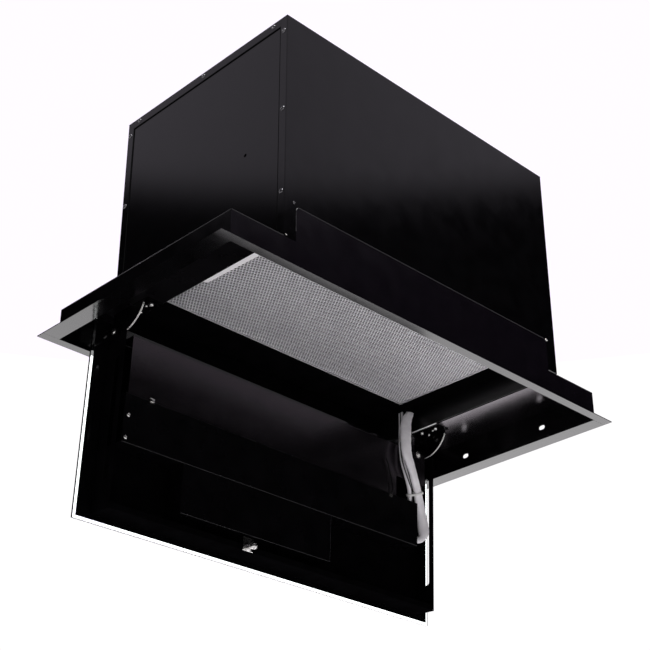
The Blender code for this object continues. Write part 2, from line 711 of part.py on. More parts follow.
def make_electronics():
    """Mains electronics housing with its lid, and the motor's capacitor."""
    outer = (238.0, 317.0, 60.0, 190.0, 300.0, 440.0)
    wall = 2.0
    hollow = (outer[0] - wall, outer[1] - wall, outer[2] + wall, outer[3] - wall,
              outer[4] + wall, outer[5] - wall)
    add_object("electronics_box", cells([outer], [hollow]), BLACK_PLASTIC)
    lid = (outer[0] - GAP - wall, outer[0] - GAP, *outer[2:])
    add_object("electronics_lid", cells([lid]), BLACK_PLASTIC)
    board = (outer[0] + 20, outer[0] + 21.6, outer[2] + wall + GAP, outer[3] - wall - GAP,
             outer[4] + wall + GAP, outer[5] - wall - GAP)
    add_object("power_board", cells([board]), BOARD_GREEN)
    can = [(0, -72), (17.5, -72), (17.5, 0), (0, 0)]
    place = (-200, 0, BOX_TOP - SHEET - GAP)
    add_object("motor_capacitor", turned(can, 24, place), WHITE_PLASTIC)


# ---------------------------------------------------------------- hinges

def make_hinge_bracket(name, side):
    """Cheek that hangs from the collar plate, with its foot turned inward."""
    top = COLLAR_HEIGHT - SHEET - GAP
    pivot = (PIVOT_Y, PIVOT_Z)
    start = Vector((79.0, top))
    pull = Vector((86.0, 22.0))
    end = Vector((119.0, 10.6))
    outline = []
    for i in range(11):
        t = i / 10
        point = start * (1 - t) ** 2 + pull * 2 * t * (1 - t) + end * t * t
        outline.append(tuple(point))
    outline += arc(pivot, 8.5, -90, 0, 6)
    outline.append((PIVOT_Y + 8.5, top))
    low, high = sorted((side * CHEEK_X, side * (CHEEK_X + CHEEK_THICK)))
    bracket = add_object(name, prism(outline, 0, low, high), BLACK_PAINT)
    foot = (HALF_BOX_X + 0.5, CHEEK_X + 1.0, 72.0, 134.0, top - 1.5, top)
    combine(bracket, cells([foot if side > 0 else mirrored(foot)]), "UNION")
    combine(bracket, prism(circle(pivot, PIVOT_HOLE, 20), 0, low - 4, high + 4), "DIFFERENCE")


def make_pivot(side_name, side):
    """Shouldered pivot screw and the spacer between the cheek and the panel's ear."""
    inner = CHEEK_X - GAP
    outer = TRAY_HALF_LENGTH + GAP
    profile = [(0, inner - 3.2), (5.4, inner - 3.2), (5.4, inner), (3.0, inner), (3.0, outer),
               (6.0, outer), (6.0, outer + 1.8), (4.6, outer + 2.8), (0, outer + 2.8)]
    near = CHEEK_X + CHEEK_THICK + GAP
    far = TRAY_HALF_LENGTH - SHEET - GAP
    spacer = [(PIVOT_HOLE, near), (6.5, near), (6.5, far), (PIVOT_HOLE, far)]
    for name, shape in (("pivot_screw", profile), ("pivot_spacer", spacer)):
        turned_shape = [(r, side * h) for r, h in shape]
        bm = turned(turned_shape, 20, (0, PIVOT_Y, PIVOT_Z), axis=0)
        add_object(f"{side_name}_{name}", bm, BRIGHT_STEEL)


def make_spring_catch():
    """Two-fingered clip under the baffle that grips the panel's ball stud."""
    y = PIVOT_Y + STUD_V
    top = BAFFLE_Z - GAP
    finger = 6.2
    solids = [
        (STUD_X - 14, STUD_X + 14, y - 8, y + 8, top - 1.2, top),
        (STUD_X - finger - 1.2, STUD_X - finger, y - 6, y + 6, 60.0, top),
        (STUD_X + finger, STUD_X + finger + 1.2, y - 6, y + 6, 60.0, top),
    ]
    add_object("spring_catch", cells(solids), BRIGHT_STEEL)


# ---------------------------------------------------------------- glass panel

def make_glass(pivot):
    """Pane with lightly ground edges."""
    half = GLASS_LENGTH / 2
    pane = (-half, half, GLASS_FRONT_V, GLASS_REAR_V, GLASS_OUTER_W, GLASS_OUTER_W + GLASS_THICK)
    glass = add_object("glass_panel", cells([pane]), BLACK_GLASS, pivot)
    bevel = glass.modifiers.new("ground_edge", "BEVEL")
    bevel.width = 0.6 * MM
    bevel.segments = 2


def make_tray_floor(pivot):
    """Floor of the metal tray on the glass, with the lamp's window."""
    reach = TRAY_HALF_LENGTH - 13.5 - GAP
    plate = (-reach, reach, TRAY_FRONT_V + 13.0, TRAY_REAR_V - SHEET - GAP,
             TRAY_FLOOR_W, TRAY_FLOOR_W + SHEET)
    window = (LAMP_LOW_X + 5, LAMP_HIGH_X - 5, -156.0, -146.0,
              TRAY_FLOOR_W - SHEET, TRAY_FLOOR_W + 2 * SHEET)
    add_object("tray_floor", cells([plate], [window]), BLACK_PAINT, pivot)


def make_tray_rail(name, side, pivot):
    """Side wall of the tray with its long slot, its foot and the hinge ear."""
    outline = [(TRAY_FRONT_V, TRAY_FLOOR_W), (-10.0, TRAY_FLOOR_W)]
    outline += arc((0, 0), 8.0, -90, 90, 12)
    outline += [(TRAY_REAR_V, 12.0), (TRAY_REAR_V, TRAY_TOP_W), (TRAY_FRONT_V, TRAY_TOP_W)]
    low, high = sorted((side * (TRAY_HALF_LENGTH - SHEET), side * TRAY_HALF_LENGTH))
    rail = add_object(name, prism(outline, 0, low, high), BLACK_PAINT, pivot)
    foot = (TRAY_HALF_LENGTH - 13.5, TRAY_HALF_LENGTH - SHEET / 2, TRAY_FRONT_V + 13.0, -12.0,
            TRAY_FLOOR_W, TRAY_FLOOR_W + SHEET)
    combine(rail, cells([foot if side > 0 else mirrored(foot)]), "UNION")
    slot = obround((-148.5, 16.8), 203.0, 11.5)
    combine(rail, prism(slot, 0, low - 3, high + 3), "DIFFERENCE")
    combine(rail, prism(circle((0, 0), PIVOT_HOLE, 20), 0, low - 3, high + 3), "DIFFERENCE")


def make_tray_front(pivot):
    """Front wall of the tray: a channel with a foot on the glass and a lip above."""
    path = [(TRAY_FRONT_V + 12.7, TRAY_FLOOR_W), (TRAY_FRONT_V, TRAY_FLOOR_W),
            (TRAY_FRONT_V, TRAY_TOP_W), (TRAY_FRONT_V + 10.0, TRAY_TOP_W)]
    reach = TRAY_HALF_LENGTH - SHEET - GAP
    outline = folded_sheet(path[::-1])
    add_object("tray_front_wall", prism(outline, 0, -reach, reach), BLACK_PAINT, pivot)


def make_upper_plate(pivot):
    """Smooth cover next to the hinge, folded down to the tray floor."""
    path = [(TRAY_REAR_V, COVER_FOOT_W), (TRAY_REAR_V, UPPER_PLATE_W), (UPPER_PLATE_V, UPPER_PLATE_W)]
    outline = folded_sheet(path)
    plate = add_object("upper_plate", prism(outline, 0, -UPPER_PLATE_X, UPPER_PLATE_X),
                       BLACK_GLOSS, pivot)
    notch = (UPPER_NOTCH_X, UPPER_PLATE_X + 5 * SHEET, UPPER_PLATE_V - 5 * SHEET, UPPER_NOTCH_V,
             UPPER_PLATE_W - 3 * SHEET, UPPER_PLATE_W + 3 * SHEET)
    combine(plate, cells([notch]), "DIFFERENCE")


def make_wiring_cover(pivot):
    """Channel-shaped cover over the lamp and the wiring; its right end is open."""
    path = [(COVER_REAR_V, COVER_FOOT_W), (COVER_REAR_V, COVER_TOP_W),
            (COVER_FRONT_V, COVER_TOP_W), (COVER_FRONT_V, COVER_FOOT_W)]
    outline = folded_sheet(path)
    cover = add_object("wiring_cover", prism(outline, 0, COVER_LEFT_X, COVER_RIGHT_X),
                       BLACK_PAINT, pivot)
    notch = (COVER_RIGHT_X - COVER_NOTCH, COVER_RIGHT_X + 5 * SHEET, COVER_REAR_V - 5 * SHEET,
             COVER_REAR_V + SHEET, COVER_FOOT_W - SHEET, COVER_TOP_W - 1.5 * SHEET)
    combine(cover, cells([notch]), "DIFFERENCE")


def make_control_box(pivot):
    """Housing of the touch control, with its circuit board on posts."""
    outer = (-224.0, 97.0, -271.0, COVER_FRONT_V - GAP, COVER_FOOT_W, COVER_TOP_W)
    hollow = (outer[0] + 1.2, outer[1] - 1.2, outer[2] + 1.2, outer[3] - 1.2,
              outer[4] - 1.0, outer[5] - 1.2)
    add_object("control_box", cells([outer], [hollow]), BLACK_PLASTIC, pivot)
    board = (-200.0, 65.0, -262.0, -205.0, 4.0, 5.6)
    posts = []
    for x in (board[0] + 8, board[1] - 8):
        for v in (board[2] + 8, board[3] - 8):
            posts.append((x - 3, x + 3, v - 3, v + 3, COVER_FOOT_W, board[4]))
    add_object("control_board", cells([board, *posts]), BOARD_GREEN, pivot)


def make_lamp(pivot):
    """Light strip behind the window in the tray floor."""
    strip = (LAMP_LOW_X, LAMP_HIGH_X, -161.0, -141.0, COVER_FOOT_W, COVER_FOOT_W + 5.0)
    add_object("lamp_strip", cells([strip]), LAMP_WHITE, pivot)


def make_striker(pivot):
    """Ball stud on a small bracket at the front lip of the tray."""
    base = TRAY_TOP_W + GAP
    plate = (STUD_X - 11, STUD_X + 11, TRAY_FRONT_V + 0.5, -276.0, base, base + 1.2)
    add_object("striker_bracket", cells([plate]), BRIGHT_STEEL, pivot)
    stand = base + 1.2 + GAP
    profile = [(0, 0), (6.0, 0), (6.0, 2.5), (3.0, 3.5), (3.0, 9.0)]
    profile += [(5.2 * math.cos(math.radians(a)), 13.5 + 5.2 * math.sin(math.radians(a)))
                for a in range(-55, 90, 18)]
    profile.append((0, 18.7))
    add_object("striker_stud", turned(profile, 20, (STUD_X, STUD_V, stand)), BRIGHT_STEEL, pivot)


# ---------------------------------------------------------------- harness

def make_harness():
    """Sleeved lead and a thinner cable from the electronics to the panel."""
    bore = GLAND_HOLE - 1.4
    waist = GLAND_HOLE - 0.4
    rim = GLAND_HOLE + 0.9
    profile = [(bore, -14.0), (rim, -14.0), (rim, -GAP), (waist, -GAP), (waist, SHEET + GAP),
               (rim, SHEET + GAP), (rim, 7.0), (bore, 7.0)]
    gland = turned(profile, 28, (GLAND_X, GLAND_Y, BAFFLE_Z))
    add_object("harness_gland", gland, BLACK_PLASTIC)
    tube("harness_sleeve", SLEEVE_ROUTE, SLEEVE_RADIUS, GREY_SLEEVE, 14.0)
    tube("harness_cable", CABLE_ROUTE, CABLE_RADIUS, GREY_SLEEVE, 10.0)


# ---------------------------------------------------------------- assembly

def clear_scene():
    for thing in list(bpy.data.objects):
        bpy.data.objects.remove(thing, do_unlink=True)


def main():
    clear_scene()
    for side_name, side in (("left", -1), ("right", 1)):
        make_end_rail(f"{side_name}_end_rail", side)
        make_ceiling_plate(f"{side_name}_ceiling_plate", side)
        make_end_panel(f"{side_name}_end_panel", side)
        make_hinge_bracket(f"{side_name}_hinge_bracket", side)
        make_pivot(side_name, side)
    for end_name, side in (("front", -1), ("rear", 1)):
        make_long_rail(f"{end_name}_rail", side)
        make_long_panel(f"{end_name}_panel", side)
    make_top_panel()
    make_mains_gland()
    make_baffle()
    make_filter_ledge()
    make_filter_clip("filter_clip_left", -180.0)
    make_filter_clip("filter_clip_right", 180.0)
    make_spring_catch()
    make_filter(empty("filter_pivot", (0, FILTER_WIDTH / 2, FILTER_BOTTOM + 0.5)))
    make_scroll_half("scroll_housing_left", -1)
    make_scroll_half("scroll_housing_right", 1)
    make_impeller(empty("impeller_pivot", (0, BLOWER_Y, BLOWER_Z)))
    make_motor()
    make_duct()
    make_electronics()
    make_harness()
    panel = empty("panel_pivot", (0, PIVOT_Y, PIVOT_Z), (math.radians(OPEN_ANGLE), 0, 0))
    make_glass(panel)
    make_tray_floor(panel)
    make_tray_rail("left_tray_rail", -1, panel)
    make_tray_rail("right_tray_rail", 1, panel)
    make_tray_front(panel)
    make_upper_plate(panel)
    make_wiring_cover(panel)
    make_control_box(panel)
    make_lamp(panel)
    make_striker(panel)


main()
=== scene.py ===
"""Looks of a built-in ceiling hood whose glass panel hangs open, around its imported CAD."""

import math

import bmesh
import bpy
import numpy as np
from mathutils import Matrix, Quaternion, Vector


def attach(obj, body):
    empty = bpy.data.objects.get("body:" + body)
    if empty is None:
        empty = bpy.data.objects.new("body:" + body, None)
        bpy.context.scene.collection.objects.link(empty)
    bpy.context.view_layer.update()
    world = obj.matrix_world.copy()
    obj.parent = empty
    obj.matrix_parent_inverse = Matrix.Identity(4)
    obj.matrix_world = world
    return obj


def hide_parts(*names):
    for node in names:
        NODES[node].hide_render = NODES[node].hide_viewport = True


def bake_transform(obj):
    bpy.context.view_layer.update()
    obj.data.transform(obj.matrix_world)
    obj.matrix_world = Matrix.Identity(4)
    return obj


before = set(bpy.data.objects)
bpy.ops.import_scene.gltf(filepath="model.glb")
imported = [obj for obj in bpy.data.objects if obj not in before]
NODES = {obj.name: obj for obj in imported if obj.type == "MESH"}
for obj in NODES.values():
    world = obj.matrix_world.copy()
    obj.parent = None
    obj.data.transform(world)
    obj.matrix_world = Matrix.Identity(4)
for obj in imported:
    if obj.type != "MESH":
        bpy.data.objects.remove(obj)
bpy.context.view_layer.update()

MM = 0.001

# Main faces of the hood, in millimetres
BOX_X = 321.0
BOX_Y = 203.65
COLLAR_X = 421.0
COLLAR_TOP = 52.4
END_PANEL_INSIDE_X = 319.3

# The panel's hinge line, in millimetres, and how far the panel hangs open
PIVOT_Y = 147.75
PIVOT_Z = 17.3
OPEN_ANGLE = math.radians(92.4)

# The floor, in metres, well below the hood
FLOOR_Z = -1.75
FLOOR_RADIUS = 2.2

# The camera, in metres and degrees
CAMERA_PLACE = (-1.4963, -1.4876, -1.0439)
CAMERA_AZIMUTH = 45.532
CAMERA_ELEVATION = 28.455
CAMERA_LENS = 78.9
CAMERA_SENSOR = 36.0
CAMERA_SHIFT = (-0.0015, 0.0062)

# The studio's brightness overhead, below and behind the hood, and how steeply a ray rises, or how
# far it points across, where each of them starts and is full
OVERHEAD_LEVEL = 0.36
OVERHEAD_RISE = (0.545, 0.572)
BELOW_LEVEL = 1.15
BELOW_RISE = (0.0, -0.2)
BACKDROP_LEVEL = 2.4
BACKDROP_ACROSS = (0.55, 0.66)
BACKDROP_TOP_RISE = (0.80, 0.70)
BACKDROP_FOOT_RISE = (-0.75, -0.65)
SEEN_LEVEL = 1.05              # behind the hood as the camera sees it
NEUTRAL_TINT = (1.0, 0.985, 1.0, 1.0)
VIOLET_TINT = (1.0, 0.93, 1.07, 1.0)
VIOLET_ABOVE = 0.45
DIAGONAL = 0.7071

# The soft light, in metres and watts
SOFTBOX_PLACE = (-0.6, -1.2, 2.4)
SOFTBOX_TARGET = (0.0, 0.0, 0.2)
SOFTBOX_SIZE = 1.6
SOFTBOX_POWER = 110

# The textures' detail, and the part of their range that is used
PATTERN_DETAIL = 3.0
PATTERN_RANGE = (0.3, 0.7)
RELIEF_DETAIL = 2.0


# ---------------------------------------------------------------- camera

def make_camera():
    """View from below and in front of the left end."""
    data = bpy.data.cameras.new("camera")
    data.sensor_width = CAMERA_SENSOR
    data.lens = CAMERA_LENS
    data.shift_x, data.shift_y = CAMERA_SHIFT
    camera = bpy.data.objects.new("camera", data)
    azimuth = math.radians(CAMERA_AZIMUTH)
    elevation = math.radians(CAMERA_ELEVATION)
    look = Vector((math.cos(elevation) * math.cos(azimuth),
                   math.cos(elevation) * math.sin(azimuth), math.sin(elevation)))
    camera.rotation_mode = "QUATERNION"
    camera.rotation_quaternion = look.to_track_quat("-Z", "Y")
    camera.location = CAMERA_PLACE
    bpy.context.scene.collection.objects.link(camera)
    bpy.context.scene.camera = camera


# ---------------------------------------------------------------- light

def ramp_node(tree, source, low, high, out_low=0.0, out_high=1.0):
    """Smooth step of a value between two limits."""
    node = tree.nodes.new("ShaderNodeMapRange")
    node.interpolation_type = "SMOOTHSTEP"
    node.inputs["From Min"].default_value = low
    node.inputs["From Max"].default_value = high
    node.inputs["To Min"].default_value = out_low
    node.inputs["To Max"].default_value = out_high
    tree.links.new(source, node.inputs["Value"])
    return node.outputs["Result"]


def maths(tree, operation, *values):
    """Result of a maths node fed with numbers or sockets."""
    node = tree.nodes.new("ShaderNodeMath")
    node.operation = operation
    for socket, value in zip(node.inputs, values):
        if isinstance(value, (int, float)):
            socket.default_value = value
        else:
            tree.links.new(value, socket)
    return node.outputs[0]


def make_world():
    """White studio: a bright backdrop beyond the hood, soft light overhead, dark walls."""
    world = bpy.data.worlds.new("studio")
    world.use_nodes = True
    bpy.context.scene.world = world
    tree = world.node_tree
    tree.nodes.clear()
    direction = tree.nodes.new("ShaderNodeTexCoord").outputs["Generated"]
    split = tree.nodes.new("ShaderNodeSeparateXYZ")
    tree.links.new(direction, split.inputs[0])
    rise = split.outputs["Z"]
    across = maths(tree, "ADD", maths(tree, "MULTIPLY", split.outputs["X"], DIAGONAL),
                   maths(tree, "MULTIPLY", split.outputs["Y"], DIAGONAL))
    overhead = ramp_node(tree, rise, *OVERHEAD_RISE, 0.0, OVERHEAD_LEVEL)
    below = ramp_node(tree, rise, *BELOW_RISE, 0.0, BELOW_LEVEL)
    facing = ramp_node(tree, across, *BACKDROP_ACROSS)
    high = ramp_node(tree, rise, *BACKDROP_TOP_RISE)
    low = ramp_node(tree, rise, *BACKDROP_FOOT_RISE)
    backdrop = maths(tree, "MULTIPLY", maths(tree, "MULTIPLY", facing, high),
                     maths(tree, "MULTIPLY", low, BACKDROP_LEVEL))
    level = maths(tree, "MAXIMUM", maths(tree, "ADD", overhead, below), backdrop)
    seen = tree.nodes.new("ShaderNodeLightPath").outputs["Is Camera Ray"]
    mix = tree.nodes.new("ShaderNodeMix")
    tree.links.new(seen, mix.inputs["Factor"])
    tree.links.new(level, mix.inputs["A"])
    mix.inputs["B"].default_value = SEEN_LEVEL
    tint = tree.nodes.new("ShaderNodeMix")
    tint.data_type = "RGBA"
    tint.inputs["A"].default_value = NEUTRAL_TINT
    tint.inputs["B"].default_value = VIOLET_TINT
    tree.links.new(maths(tree, "GREATER_THAN", rise, VIOLET_ABOVE), tint.inputs["Factor"])
    background = tree.nodes.new("ShaderNodeBackground")
    tree.links.new(tint.outputs["Result"], background.inputs["Color"])
    tree.links.new(mix.outputs["Result"], background.inputs["Strength"])
    output = tree.nodes.new("ShaderNodeOutputWorld")
    tree.links.new(background.outputs[0], output.inputs["Surface"])


def make_softbox():
    """Round soft light overhead, in front of the hood."""
    data = bpy.data.lights.new("overhead_softbox", "AREA")
    data.shape = "DISK"
    data.size = SOFTBOX_SIZE
    data.energy = SOFTBOX_POWER
    light = bpy.data.objects.new("overhead_softbox", data)
    light.location = SOFTBOX_PLACE
    light.rotation_mode = "QUATERNION"
    aim = Vector(SOFTBOX_TARGET) - Vector(SOFTBOX_PLACE)
    light.rotation_quaternion = aim.to_track_quat("-Z", "Y")
    bpy.context.scene.collection.objects.link(light)


# ---------------------------------------------------------------- materials

def shade(name, base, roughness, metallic=0.0, second=None, colour_scale=30.0,
          rough_spread=0.0, rough_scale=25.0, bump=0.0, bump_scale=400.0, bump_depth=0.2,
          cells=False, sockets=None):
    """Principled material with mottled colour, uneven roughness and a fine relief.

    Scales are in features per metre, and bump_depth is in millimetres."""
    made = bpy.data.materials.new(name)
    made.use_nodes = True
    tree = made.node_tree
    principled = tree.nodes["Principled BSDF"]
    principled.inputs["Metallic"].default_value = metallic
    principled.inputs["Roughness"].default_value = roughness
    principled.inputs["Base Color"].default_value = (*base, 1.0)
    for key, value in (sockets or {}).items():
        principled.inputs[key].default_value = value
    place = tree.nodes.new("ShaderNodeTexCoord").outputs["Object"]

    def pattern(scale):
        kind = "ShaderNodeTexVoronoi" if cells else "ShaderNodeTexNoise"
        node = tree.nodes.new(kind)
        node.inputs["Scale"].default_value = scale
        if not cells:
            node.inputs["Detail"].default_value = PATTERN_DETAIL
        tree.links.new(place, node.inputs["Vector"])
        return node.outputs["Color"] if cells else node.outputs["Fac"]

    if second:
        mix = tree.nodes.new("ShaderNodeMix")
        mix.data_type = "RGBA"
        mix.inputs["A"].default_value = (*base, 1.0)
        mix.inputs["B"].default_value = (*second, 1.0)
        tree.links.new(ramp_node(tree, pattern(colour_scale), *PATTERN_RANGE),
                       mix.inputs["Factor"])
        tree.links.new(mix.outputs["Result"], principled.inputs["Base Color"])
    if rough_spread:
        tree.links.new(ramp_node(tree, pattern(rough_scale), *PATTERN_RANGE,
                                 roughness - rough_spread, roughness + rough_spread),
                       principled.inputs["Roughness"])
    if bump:
        relief = tree.nodes.new("ShaderNodeTexNoise")
        relief.inputs["Scale"].default_value = bump_scale
        relief.inputs["Detail"].default_value = RELIEF_DETAIL
        tree.links.new(place, relief.inputs["Vector"])
        node = tree.nodes.new("ShaderNodeBump")
        node.inputs["Strength"].default_value = bump
        node.inputs["Distance"].default_value = bump_depth * MM
        tree.links.new(relief.outputs["Fac"], node.inputs["Height"])
        tree.links.new(node.outputs["Normal"], principled.inputs["Normal"])
    return made


def make_end_paint(paint, second, inside, outside):
    """Gloss paint of an end panel, with one roughness on its inner face and one outside."""
    made = shade("end_panel_paint", paint, outside, second=second, bump=0.05,
                 bump_scale=420, bump_depth=0.02)
    tree = made.node_tree
    split = tree.nodes.new("ShaderNodeSeparateXYZ")
    tree.links.new(tree.nodes.new("ShaderNodeTexCoord").outputs["Object"], split.inputs[0])
    level = ramp_node(tree, maths(tree, "ABSOLUTE", split.outputs["X"]),
                      (END_PANEL_INSIDE_X - 0.1) * MM, (END_PANEL_INSIDE_X + 0.1) * MM,
                      inside, outside)
    tree.links.new(level, tree.nodes["Principled BSDF"].inputs["Roughness"])
    return made


def make_materials():
    paint = (0.0009, 0.0008, 0.0010)
    paint_second = (0.0016, 0.0015, 0.0018)
    gloss = 0.085
    return {
        "end_paint": make_end_paint(paint, paint_second, 0.30, gloss),
        "painted_sheet": shade("gloss_black_sheet", paint, gloss, second=paint_second,
                               rough_spread=0.015, bump=0.05, bump_scale=420, bump_depth=0.02),
        "gloss_trim": shade("gloss_black_trim", paint, 0.12, second=(0.0014, 0.0013, 0.0016),
                            rough_spread=0.02, bump=0.04, bump_scale=350, bump_depth=0.02),
        "tray_paint": shade("satin_black_tray", (0.0012, 0.0011, 0.0013), 0.34,
                            second=(0.0020, 0.0019, 0.0022), rough_spread=0.05, bump=0.15,
                            bump_scale=700, bump_depth=0.03, sockets={"Specular IOR Level": 0.0}),
        "cover_paint": shade("satin_black_cover", (0.0012, 0.0011, 0.0014), 0.30,
                             second=(0.0022, 0.0020, 0.0025), rough_spread=0.05, bump=0.1,
                             bump_scale=600, bump_depth=0.03, sockets={"Specular IOR Level": 0.05}),
        "plate_paint": shade("soft_gloss_plate", paint, 0.24, second=(0.0018, 0.0016, 0.0020),
                             rough_spread=0.03, bump=0.05, bump_scale=400, bump_depth=0.02,
                             sockets={"Specular IOR Level": 0.8,
                                      "Specular Tint": (1.0, 0.86, 1.0, 1.0)}),
        # Lighter and more violet than the paint: a painted violet-grey reflection on the front rail
        "rail_paint": shade("black_rail_painted_reflection", (0.0024, 0.0018, 0.0029), 0.14,
                            second=(0.0032, 0.0024, 0.0038), rough_spread=0.02, bump=0.04,
                            bump_scale=350, bump_depth=0.02),
        # Matte black: the sensor lead's jacket, and the strips along the box's seams that paint the
        # shadow in their gaps
        "seam": shade("matte_black_lead_and_seam_shade", (0.0010, 0.0010, 0.0011), 0.60,
                      second=(0.0018, 0.0018, 0.0019), rough_spread=0.08, bump=0.2,
                      bump_scale=600, bump_depth=0.04,
                      sockets={"Specular IOR Level": 0.05}),
        # Edge beads a little lighter than the paint: painted highlight lines along rolled and
        # folded edges, over the real highlights of their round shape
        "edge_painted_highlight": shade("rolled_edge_painted_highlight", (0.010, 0.0095, 0.011), 0.30,
                           second=(0.016, 0.015, 0.017), colour_scale=160, rough_spread=0.06,
                           bump=0.1, bump_scale=500),
        "dark_steel": shade("blackened_screw_steel", (0.10, 0.097, 0.105), 0.24, metallic=0.9,
                            second=(0.16, 0.155, 0.165), colour_scale=300, rough_spread=0.05,
                            bump=0.15, bump_scale=900, bump_depth=0.05),
        "black_wire": shade("black_wire_jacket", (0.006, 0.006, 0.007), 0.38,
                            second=(0.010, 0.010, 0.011), rough_spread=0.05, bump=0.2,
                            bump_scale=900, bump_depth=0.05),
        "black_glass": shade("glass_back_paint", (0.0012, 0.0012, 0.0014), 0.09,
                             second=(0.0020, 0.0020, 0.0022), rough_spread=0.008,
                             rough_scale=5.0),
        "clear_glass": shade("clear_glass", (0.93, 0.97, 0.95), 0.0, second=(0.90, 0.96, 0.94),
                             colour_scale=6, sockets={"Transmission Weight": 1.0, "IOR": 1.5}),
        "black_plastic": shade("moulded_black_plastic", (0.010, 0.010, 0.011), 0.42,
                               second=(0.016, 0.016, 0.017), rough_spread=0.06, bump=0.25,
                               bump_scale=900, bump_depth=0.06),
        "grey_sleeve": shade("grey_cable_sleeve", (0.80, 0.78, 0.80), 0.46,
                             second=(0.68, 0.66, 0.68), colour_scale=45, rough_spread=0.08,
                             bump=0.35, bump_scale=160, bump_depth=0.5,
                             sockets={"Subsurface Weight": 0.08,
                                      "Subsurface Radius": (0.004, 0.004, 0.004)}),
        "white_plastic": shade("white_nylon", (0.72, 0.72, 0.70), 0.38, second=(0.62, 0.62, 0.60),
                               rough_spread=0.05, bump=0.15, bump_scale=700, bump_depth=0.05),
        "filter_aluminium": shade("filter_aluminium", (0.97, 0.96, 0.97), 0.50, metallic=1.0,
                                  second=(0.88, 0.87, 0.89), colour_scale=60, rough_spread=0.08,
                                  rough_scale=90, bump=0.3, bump_scale=260, bump_depth=0.15),
        "strip_aluminium": shade("rolled_aluminium", (0.97, 0.96, 0.97), 0.60,
                                 second=(0.93, 0.92, 0.93), colour_scale=120, rough_spread=0.05,
                                 bump=0.1, bump_scale=300, bump_depth=0.05),
        # Near black though the foil is aluminium: painted shade deep inside the filter's layers
        "filter_core": shade("filter_foil_painted_shade", (0.035, 0.034, 0.036), 0.45, metallic=1.0,
                             second=(0.015, 0.015, 0.016), colour_scale=340, rough_spread=0.12,
                             rough_scale=300, bump=0.9, bump_scale=340, bump_depth=1.2),
        "zinc_steel": shade("spangled_zinc_sheet", (0.52, 0.53, 0.55), 0.36, metallic=1.0,
                            second=(0.38, 0.39, 0.41), colour_scale=110, rough_spread=0.09,
                            rough_scale=110, cells=True, bump=0.1, bump_scale=500),
        "bright_steel": shade("nickel_plated_steel", (0.72, 0.71, 0.69), 0.20, metallic=1.0,
                              second=(0.58, 0.57, 0.56), colour_scale=220, rough_spread=0.06,
                              rough_scale=300, bump=0.12, bump_scale=1200, bump_depth=0.05),
        "motor_housing": shade("dark_motor_shell", (0.05, 0.05, 0.055), 0.38, metallic=0.6,
                               second=(0.08, 0.08, 0.085), rough_spread=0.08, bump=0.3,
                               bump_scale=500, bump_depth=0.15),
        "circuit_board": shade("circuit_board", (0.02, 0.12, 0.05), 0.35, second=(0.05, 0.20, 0.09),
                               colour_scale=260, cells=True, rough_spread=0.1, bump=0.6,
                               bump_scale=300, bump_depth=0.6),
        "lamp_diffuser": shade("opal_diffuser", (0.78, 0.78, 0.75), 0.45, second=(0.70, 0.70, 0.66),
                               colour_scale=70, rough_spread=0.06, bump=0.2, bump_scale=300,
                               sockets={"Subsurface Weight": 0.2,
                                        "Subsurface Radius": (0.003, 0.003, 0.003)}),
    }


# ---------------------------------------------------------------- mesh helpers

def mesh_object(name, bm, material, body, smooth=0.0):
    """Turns a bmesh in metres into a piece that rides on a body; smooth is an angle in degrees."""
    bmesh.ops.recalc_face_normals(bm, faces=bm.faces[:])
    data = bpy.data.meshes.new(name)
    bm.to_mesh(data)
    bm.free()
    data.materials.append(material)
    if smooth:
        data.shade_smooth()
        data.set_sharp_from_angle(angle=math.radians(smooth))
    made = bpy.data.objects.new(name, data)
    bpy.context.scene.collection.objects.link(made)
    if body:
        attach(made, body)
    return made


def opened(x, v, w):
    """World point, in millimetres, of a point in the panel's own coordinates."""
    turn, rise = math.cos(OPEN_ANGLE), math.sin(OPEN_ANGLE)
    return Vector((x, PIVOT_Y + v * turn - w * rise, PIVOT_Z + v * rise + w * turn))


def lathe(bm, profile, centre, axis, steps):
    """Adds a closed turned shape; profile is (radius, height) from the tip on the axis down."""
    spin = Vector((0, 0, 1)).rotation_difference(Vector(axis).normalized())
    rings = []
    for radius, height in profile:
        if radius == 0:
            rings.append([bm.verts.new((Vector(centre) + spin @ Vector((0, 0, height))) * MM)])
            continue
        ring = []
        for step in range(steps):
            angle = 2 * math.pi * step / steps
            local = Vector((radius * math.cos(angle), radius * math.sin(angle), height))
            ring.append(bm.verts.new((Vector(centre) + spin @ local) * MM))
        rings.append(ring)
    for one, two in zip(rings, rings[1:]):
        for step in range(steps):
            after = (step + 1) % steps
            a, b = one[step % len(one)], one[after % len(one)]
            c, d = two[after % len(two)], two[step % len(two)]
            corners = []
            for corner in (a, b, c, d):
                if corner not in corners:
                    corners.append(corner)
            if len(corners) > 2:
                bm.faces.new(corners)


SCREW_STEPS = 24
# Shares of the radius and of the height, from the recess to just under the seat
SCREW_PROFILE = ((0.0, 0.42), (0.22, 0.40), (0.52, 0.55), (0.62, 0.92), (0.86, 0.72),
                 (0.97, 0.42), (1.0, 0.16), (1.0, -0.12))
RECESS_END = 0.60              # share of the radius where the cross recess ends
RECESS_RIM = 0.70              # and where its rounded rim ends
RECESS_HALF_WIDTH = 0.30       # of one arm of the cross, as a share of the radius


